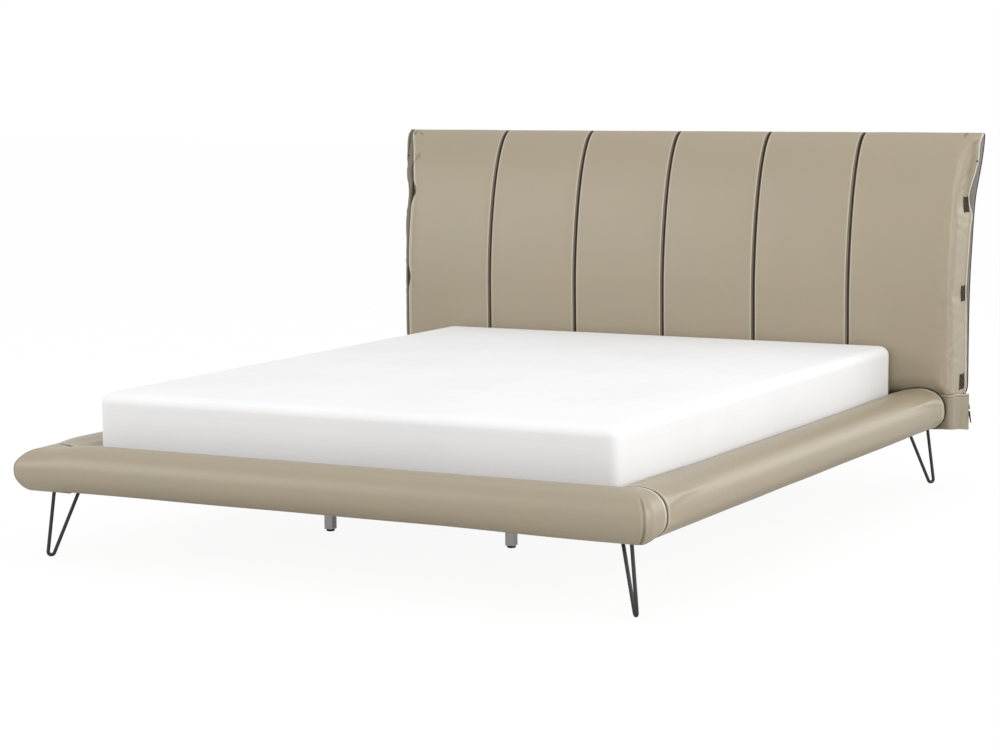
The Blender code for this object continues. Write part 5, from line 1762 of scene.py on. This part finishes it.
ROD_RADIUS = 0.005
ROD_BEND_RADIUS = 0.009
OUTER_ROD_LEAN = 0.0157
INNER_ROD_LEAN = 0.0690
LEG_LEAN = 0.0085
PLATE_SIDE = 0.080
PLATE_THICKNESS = 0.004
PLATE_CORNER = 0.010
PLATE_SOFTENING = 0.0007
PLATE_SCREW_INSET = 0.012
PLATE_TOP = 0.1877
STANDING_FLAT = 0.0005
WELD_GAP = 0.0004
WELD_BEAD = 0.0016
WELD_RIPPLE = 0.0004
SCREW_RADIUS = 0.0045
SCREW_HEIGHT = 0.0024


def screw_bmesh(radius, height):
    """A domed screw head with a round recess, its seat in the XY plane and its top towards +Z."""
    shares = ((0.0, 0.45), (0.42, 0.45), (0.50, 0.97), (0.80, 0.80), (0.97, 0.35), (1.0, 0.0))
    return turned_bmesh([(radius * out, height * up) for out, up in shares], 12)


def add_screw(target, place, direction, radius=SCREW_RADIUS, height=SCREW_HEIGHT):
    """Add a screw head that stands on a surface and points away from it."""
    turn = Vector(direction).to_track_quat("Z", "Y").to_matrix().to_4x4()
    joined(target, screw_bmesh(radius, height), Matrix.Translation(place) @ turn)


def rod_route():
    """Points of a hairpin leg's rod as (distance from its apex, height), from end to end."""
    top = PLATE_TOP - PLATE_THICKNESS / 2
    bend_z = ROD_RADIUS + ROD_BEND_RADIUS - STANDING_FLAT
    rise = top - bend_z
    first = math.pi - math.atan2(OUTER_ROD_LEAN, rise)
    last = 2 * math.pi - math.atan2(INNER_ROD_LEAN, rise)
    turns = np.linspace(first, last, 22)
    bend = np.column_stack([ROD_BEND_RADIUS * np.cos(turns), bend_z + ROD_BEND_RADIUS * np.sin(turns)])
    outer = np.array([bend[0, 0] + OUTER_ROD_LEAN, top])
    inner = np.array([bend[-1, 0] + INNER_ROD_LEAN, top])
    share = np.linspace(0, 1, 14)[:-1, None]
    return np.concatenate([outer + (bend[0] - outer) * share, bend, inner + (bend[-1] - inner) * share[::-1]])


def build_legs():
    """The four hairpin legs, each a bent rod welded under a screw plate."""
    route = rod_route()
    diagonal = math.sqrt(0.5)
    middle = (route[0, 0] + route[-1, 0]) / 2 * diagonal
    for end, inward in ENDS:
        for side, sign in SIDES:
            name = f"hairpin_leg_{end}_{side}"
            low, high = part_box(name)
            outer_x = max(abs(low.x), abs(high.x))
            plate_x = outer_x - PLATE_SIDE / 2
            plate_y = (low.y + PLATE_SIDE / 2) if inward > 0 else (high.y - PLATE_SIDE / 2)
            apex_x, apex_y = plate_x + middle + LEG_LEAN, plate_y - inward * middle
            away, height = route.T
            lean = LEG_LEAN * height / PLATE_TOP
            points = np.column_stack([sign * (apex_x - away * diagonal - lean),
                                      apex_y + inward * away * diagonal, height])
            up = (diagonal, sign * inward * diagonal, 0.0)
            bm = sweep_bmesh(points, ring_section(ROD_RADIUS, 20), up=up)
            for vert in bm.verts:
                vert.co.z = max(vert.co.z, 0.0)
            joined(bm, plate_bmesh(), Matrix.Translation((sign * plate_x, plate_y, PLATE_TOP)))
            for spot, way in ((points[0], points[0] - points[1]), (points[-1], points[-1] - points[-2])):
                joined(bm, weld_bmesh(), weld_matrix(spot, way))
            leg = new_piece(name + "_bent", bm, "black_paint", sharp=40)
            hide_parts(name)
            screws = bmesh.new()
            reach = PLATE_SIDE / 2 - PLATE_SCREW_INSET
            for across in (-reach, reach):
                for along in (-reach, reach):
                    place = (sign * plate_x + across, plate_y + along, PLATE_TOP - PLATE_THICKNESS)
                    add_screw(screws, place, (0.0, 0.0, -1.0))
            new_piece(name + "_screws", screws, "black_metal", sharp=35)


def plate_bmesh():
    """A screw plate with rounded corners and softened edges, its upper face at the origin."""
    bm = bmesh.new()
    bmesh.ops.create_cube(bm, size=1.0)
    bmesh.ops.scale(bm, vec=(PLATE_SIDE, PLATE_SIDE, PLATE_THICKNESS), verts=bm.verts)
    upright = [edge for edge in bm.edges if abs(edge.verts[0].co.z - edge.verts[1].co.z) > WELD]
    bmesh.ops.bevel(bm, geom=upright, offset=PLATE_CORNER, segments=6, profile=0.5, affect="EDGES",
                    material=-1)
    rims = [edge for edge in bm.edges if abs(edge.verts[0].co.z - edge.verts[1].co.z) < WELD
            and len({round(face.normal.z) for face in edge.link_faces}) > 1]
    bmesh.ops.bevel(bm, geom=rims, offset=PLATE_SOFTENING, segments=2, profile=0.5, affect="EDGES",
                    material=-1)
    bmesh.ops.translate(bm, vec=(0.0, 0.0, -PLATE_THICKNESS / 2), verts=bm.verts)
    return bm


def weld_bmesh():
    """A rippled weld bead round a rod."""
    bm = ring_bmesh(ROD_RADIUS + WELD_GAP, WELD_BEAD, steps=36, sides=8)
    for vert in bm.verts:
        turn = math.atan2(vert.co.y, vert.co.x)
        vert.co.z += WELD_RIPPLE * math.sin(turn * 12)
        vert.co.xy *= 1 + 0.05 * math.sin(turn * 5 + 1.0)
    return bm


def weld_matrix(spot, way):
    """Place of a weld bead where a rod meets its plate from below."""
    way = Vector(way).normalized()
    start = Vector(spot) + way * ((PLATE_TOP - PLATE_THICKNESS - spot[2]) / way.z)
    level = Vector((way.x, way.y, 0.0)).normalized()
    return Matrix.Translation(start) @ Matrix.Scale(1 / max(way.z, 0.5), 4, level)


class BED_OT_legs(bpy.types.Operator):
    """Bend and weld the hairpin legs"""
    bl_idname = "bed.legs"
    bl_label = "Hairpin legs"

    def execute(self, context):
        build_legs()
        return {"FINISHED"}


FOOT_DISC_HEIGHT = 0.006
FOOT_NECK_RADIUS = 0.0052
THREAD_PITCH = 0.0015
THREAD_RADIUS = 0.0049
THREAD_ROOT = 0.0043
STUD_TIP_RADIUS = 0.0040
STUD_TIP_GAP = 0.0004


def foot_profile(radius, top):
    """Outline of a levelling foot as (radius, height): a moulded disc under a threaded stud."""
    height = FOOT_DISC_HEIGHT
    disc = [(0.0, 0.0), (radius - 0.0016, 0.0), (radius - 0.0006, 0.0004), (radius, 0.0014),
            (radius, height - 0.0020), (radius - 0.0008, height - 0.0008), (radius - 0.0026, height - 0.0002),
            (FOOT_NECK_RADIUS, height - 0.0001)]
    thread = []
    z = height
    while z < top - 2 * THREAD_PITCH:
        thread += [(THREAD_RADIUS, z + 0.25 * THREAD_PITCH), (THREAD_ROOT, z + 0.75 * THREAD_PITCH)]
        z += THREAD_PITCH
    return disc + thread + [(STUD_TIP_RADIUS, top - STUD_TIP_GAP), (0.0, top - STUD_TIP_GAP)]


def build_feet():
    """The four levelling feet: a threaded stud in a moulded disc."""
    for end, _ in ENDS:
        for side, _ in SIDES:
            node = f"levelling_foot_{end}_{side}"
            low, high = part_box(node)
            bm = turned_bmesh(foot_profile((high.x - low.x) / 2, high.z - low.z), 28)
            centre = ((low.x + high.x) / 2, (low.y + high.y) / 2, low.z)
            bmesh.ops.translate(bm, vec=centre, verts=bm.verts)
            foot = new_piece(f"threaded_foot_{end}_{side}", bm, "black_plastic_mould",
                             body=f"foot_{end}_{side}", sharp=35)
            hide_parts(node)


class BED_OT_feet(bpy.types.Operator):
    """Turn the threaded levelling feet"""
    bl_idname = "bed.feet"
    bl_label = "Levelling feet"

    def execute(self, context):
        build_feet()
        return {"FINISHED"}


FELT_SOFTENING = 0.0004
FELT_THICKNESS = 0.0009
FELT_GAP = 0.0002
FELT_LOW = 0.2515
FELT_HALF = 0.74
FELT_END = 0.02
SLAT_COUNT = 12
SLAT_SCREW_INSET = 0.014
BRACKET_WALL = 0.003
BRACKET_SCREW_REACH = 0.024
BRACKET_SCREW_INSET = 0.016


def add_strip(target, low, high):
    """Add a thin strip between two corners with softened edges."""
    low, high = Vector(low), Vector(high)
    bm = bmesh.new()
    bmesh.ops.create_cube(bm, size=1.0)
    bmesh.ops.scale(bm, vec=high - low, verts=bm.verts)
    bmesh.ops.translate(bm, vec=(low + high) / 2, verts=bm.verts)
    bmesh.ops.bevel(bm, geom=bm.edges, offset=FELT_SOFTENING, segments=2, profile=0.5, affect="EDGES",
                    material=-1)
    joined(target, bm)


def build_screws():
    """The screws of the slats and the corner brackets."""
    zinc = bmesh.new()
    for index in range(1, SLAT_COUNT + 1):
        low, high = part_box(f"slat_{index:02d}")
        for x in (low.x + SLAT_SCREW_INSET, high.x - SLAT_SCREW_INSET):
            add_screw(zinc, (x, (low.y + high.y) / 2, high.z), (0.0, 0.0, 1.0), 0.0040, 0.0003)
    for end, inward in ENDS:
        for side, sign in SIDES:
            low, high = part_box(f"corner_bracket_{end}_{side}")
            inner_x = (high.x - BRACKET_WALL) if sign > 0 else (low.x + BRACKET_WALL)
            inner_y = (low.y + BRACKET_WALL) if inward > 0 else (high.y - BRACKET_WALL)
            middle_x = inner_x - sign * BRACKET_SCREW_REACH
            middle_y = inner_y + inward * BRACKET_SCREW_REACH
            rows = ((low.z + high.z) / 2,)
            if inward > 0:
                rows = (low.z + BRACKET_SCREW_INSET, high.z - BRACKET_SCREW_INSET)
            for z in rows:
                add_screw(zinc, (inner_x, middle_y, z), (-sign, 0.0, 0.0), 0.0055, 0.0034)
                add_screw(zinc, (middle_x, inner_y, z), (0.0, inward, 0.0), 0.0055, 0.0034)
    new_piece("frame_screws", zinc, "zinc", sharp=35)


def build_felt():
    """The dark felt strips on the inner faces of the beams."""
    ledge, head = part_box("slat_ledge_right"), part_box("head_beam")
    felt = bmesh.new()
    wall = BEAM_LOW.x - FELT_GAP
    top = BEAM_CAP - 0.002
    base = max(ledge[1].z + 0.0008, FELT_LOW)
    for _, sign in SIDES:
        near, far = sorted((sign * wall, sign * (wall - FELT_THICKNESS)))
        add_strip(felt, (near, ledge[0].y + FELT_END, base), (far, ledge[1].y - FELT_END, top))
    foot = FOOT_BEAM_HIGH.y + FELT_GAP
    add_strip(felt, (-FELT_HALF, foot, FELT_LOW), (FELT_HALF, foot + FELT_THICKNESS, top))
    add_strip(felt, (head[0].x + 0.002, head[0].y - 0.0012, FELT_LOW),
              (head[1].x - 0.002, head[0].y - 0.0003, head[1].z - 0.001))
    new_piece("frame_felt", felt, "black_felt", smooth=False)


class BED_OT_fixings(bpy.types.Operator):
    """Fit the screws and the felt inside the frame"""
    bl_idname = "bed.fixings"
    bl_label = "Fixings"

    def execute(self, context):
        build_screws()
        build_felt()
        return {"FINISHED"}


# Finishes of the frame's own pieces


# Finish of each node of the frame, by how its name starts; the rest are leather
NODE_FINISHES = (
    ("slat_ledge", "grey_paint"), ("slat_", "birch_slat"), ("side_beam", "pine_timber_along"),
    ("foot_beam", "pine_timber"), ("head_beam", "pine_timber"), ("foot_cleat", "pine_timber"),
    ("head_cleat", "pine_timber"), ("support_", "grey_paint"), ("corner_bracket", "grey_paint"),
    ("levelling_foot", "black_plastic_mould"), ("hairpin_leg", "black_paint"),
    ("headboard_panel", "pine_timber"), ("headboard_post", "pine_timber_along"),
    ("seam_lace", "seam_lace"), ("side_tie", "seam_lace"),
)


def finish_for(node):
    """The finish of a piece of the frame, by its name."""
    for start, finish in NODE_FINISHES:
        if node.startswith(start):
            return finish
    return "taupe_leather_grain"


class BED_OT_frame_finish(bpy.types.Operator):
    """Give the frame's own pieces their wood, paint and plastic"""
    bl_idname = "bed.frame_finish"
    bl_label = "Frame finishes"

    def execute(self, context):
        for name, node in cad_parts.items():
            node.data.materials.clear()
            node.data.materials.append(material(finish_for(name)))
        return {"FINISHED"}


# Stage


FOCAL_PIXELS = 2566.9
PHOTO_WIDTH = 1000.0
SENSOR = 36.0
CAMERA_PLACE = (3.533, -6.6795, 1.357)
CAMERA_YAW = 0.494
CAMERA_PITCH = 0.122
CAMERA_ROLL = math.radians(-0.5)
# Place, target and side of each soft box
SOFT_BOXES = {
    "key": ((5.4, -1.9, 2.4), (0.4, 0.0, 0.4), 3.0),
    "fill": ((-3.8, -4.6, 2.6), (-0.2, 0.6, 0.6), 3.0),
    "overhead": ((0.4, 0.4, 5.0), (0.0, 0.1, 0.0), 4.0),
    "rim": ((3.6, 5.2, 2.2), (1.0, -0.3, 0.3), 3.0),
}
FLOOR_HALF = 30.0
FLOOR_Z = -0.0006
FLOOR_TONE = 0.78
FLOOR_GLOW = 1.03
FLOOR_GLOW_SHARE = 0.90


def build_camera(scene):
    """The camera at the photograph's angle."""
    camera = bpy.data.cameras.new("camera")
    camera.sensor_width = SENSOR
    camera.lens = FOCAL_PIXELS * SENSOR / PHOTO_WIDTH
    holder = bpy.data.objects.new("camera", camera)
    scene.collection.objects.link(holder)
    forward = Vector((-math.sin(CAMERA_YAW) * math.cos(CAMERA_PITCH),
                      math.cos(CAMERA_YAW) * math.cos(CAMERA_PITCH), -math.sin(CAMERA_PITCH)))
    right = Vector((math.cos(CAMERA_YAW), math.sin(CAMERA_YAW), 0.0))
    up = right.cross(forward)
    rolled = math.cos(CAMERA_ROLL) * right + math.sin(CAMERA_ROLL) * up
    turn = Matrix((rolled, rolled.cross(forward), -forward)).transposed().to_4x4()
    holder.matrix_world = Matrix.Translation(CAMERA_PLACE) @ turn
    scene.camera = holder


def soft_box(scene, name, place, target, size, power):
    """A square area lamp that looks at a point."""
    lamp = bpy.data.lights.new(name, "AREA")
    lamp.energy = power
    lamp.shape = "SQUARE"
    lamp.size = size
    holder = bpy.data.objects.new(name, lamp)
    scene.collection.objects.link(holder)
    direction = Vector(target) - Vector(place)
    holder.location = place
    holder.rotation_euler = direction.to_track_quat("-Z", "Y").to_euler()


def build_floor():
    """A plain white floor, which the camera sees almost white and which keeps the soft shadow."""
    made, graph, output = new_material("studio_floor")
    lit = graph.node("BsdfDiffuse", {"Color": opaque([FLOOR_TONE] * 3)})
    glow = graph.node("Emission", {"Color": (1.0, 1.0, 1.0, 1.0), "Strength": FLOOR_GLOW})
    seen = graph.node("LightPath").outputs["Is Camera Ray"]
    share = graph.math("MULTIPLY", seen, FLOOR_GLOW_SHARE)
    mixed = graph.node("MixShader", {0: share, 1: lit.outputs[0], 2: glow.outputs[0]})
    finish_material(made, graph, output, mixed)
    bm = bmesh.new()
    bmesh.ops.create_grid(bm, x_segments=1, y_segments=1, size=FLOOR_HALF)
    bmesh.ops.translate(bm, vec=(0.0, 0.0, FLOOR_Z), verts=bm.verts)
    mesh = bpy.data.meshes.new("studio_floor")
    bm.to_mesh(mesh)
    bm.free()
    mesh.materials.append(made)
    floor = bpy.data.objects.new("studio_floor", mesh)
    bpy.context.scene.collection.objects.link(floor)


def build_world(scene, strength):
    """Even white light, which the camera and reflections see as pure white."""
    world = bpy.data.worlds.new("studio")
    scene.world = world
    world.use_nodes = True
    graph = Graph(world.node_tree)
    paths = graph.node("LightPath")
    seen = graph.math("MAXIMUM", paths.outputs["Is Camera Ray"], paths.outputs["Is Transmission Ray"])
    seen = graph.math("MAXIMUM", seen, paths.outputs["Is Glossy Ray"])
    level = graph.node("MapRange", {0: seen, 1: 0.0, 2: 1.0, 3: strength, 4: 1.0}).outputs[0]
    sky = graph.node("Background", {"Color": (1.0, 1.0, 1.0, 1.0), "Strength": level})
    output = graph.tree.nodes.new("ShaderNodeOutputWorld")
    graph.tree.links.new(sky.outputs[0], output.inputs["Surface"])


class BED_OT_stage(bpy.types.Operator):
    """Set the floor, the soft light and the camera"""
    bl_idname = "bed.stage"
    bl_label = "Stage"

    def execute(self, context):
        scene = context.scene
        look = scene.bed_stage
        scene.view_settings.view_transform = "Standard"
        build_camera(scene)
        build_floor()
        build_world(scene, look.surround)
        for name, (place, target, size) in SOFT_BOXES.items():
            soft_box(scene, name, place, target, size, getattr(look, name))
        return {"FINISHED"}


# Add-on


class BED_PT_panel(bpy.types.Panel):
    """Lists the steps that dress the bed"""
    bl_idname = "BED_PT_panel"
    bl_label = "Faux Leather Bed"
    bl_space_type = "VIEW_3D"
    bl_region_type = "UI"
    bl_category = "Bed"

    def draw(self, context):
        for step in STEPS:
            self.layout.operator(step.bl_idname)
        for group in LOOKS:
            box = self.layout.box()
            look = getattr(context.scene, group)
            for name in look.bl_rna.properties.keys():
                if name not in ("rna_type", "name"):
                    box.prop(look, name)


LOOKS = {"bed_leather": LeatherLook, "bed_mattress": MattressLook, "bed_frame_look": FrameLook,
         "bed_stage": StageLook}
STEPS = (BED_OT_stage, BED_OT_frame_finish, BED_OT_headboard_pad, BED_OT_headboard_seams,
         BED_OT_headboard_back, BED_OT_side_ties, BED_OT_skirts, BED_OT_rolls, BED_OT_mattress, BED_OT_legs,
         BED_OT_feet, BED_OT_fixings)


def register():
    """Register the settings, the steps and the panel."""
    for item in (*LOOKS.values(), *STEPS, BED_PT_panel):
        bpy.utils.register_class(item)
    for name, item in LOOKS.items():
        setattr(bpy.types.Scene, name, bpy.props.PointerProperty(type=item))


def unregister():
    """Take it all away again."""
    for name in LOOKS:
        delattr(bpy.types.Scene, name)
    for item in (BED_PT_panel, *reversed(STEPS), *LOOKS.values()):
        bpy.utils.unregister_class(item)


def main():
    """Dress the bed."""
    register()
    make_effects()
    for step in STEPS:
        area, name = step.bl_idname.split(".")
        if getattr(getattr(bpy.ops, area), name)() != {"FINISHED"}:
            raise RuntimeError(step.bl_idname + " did not finish")


if __name__ == "__main__":
    main()
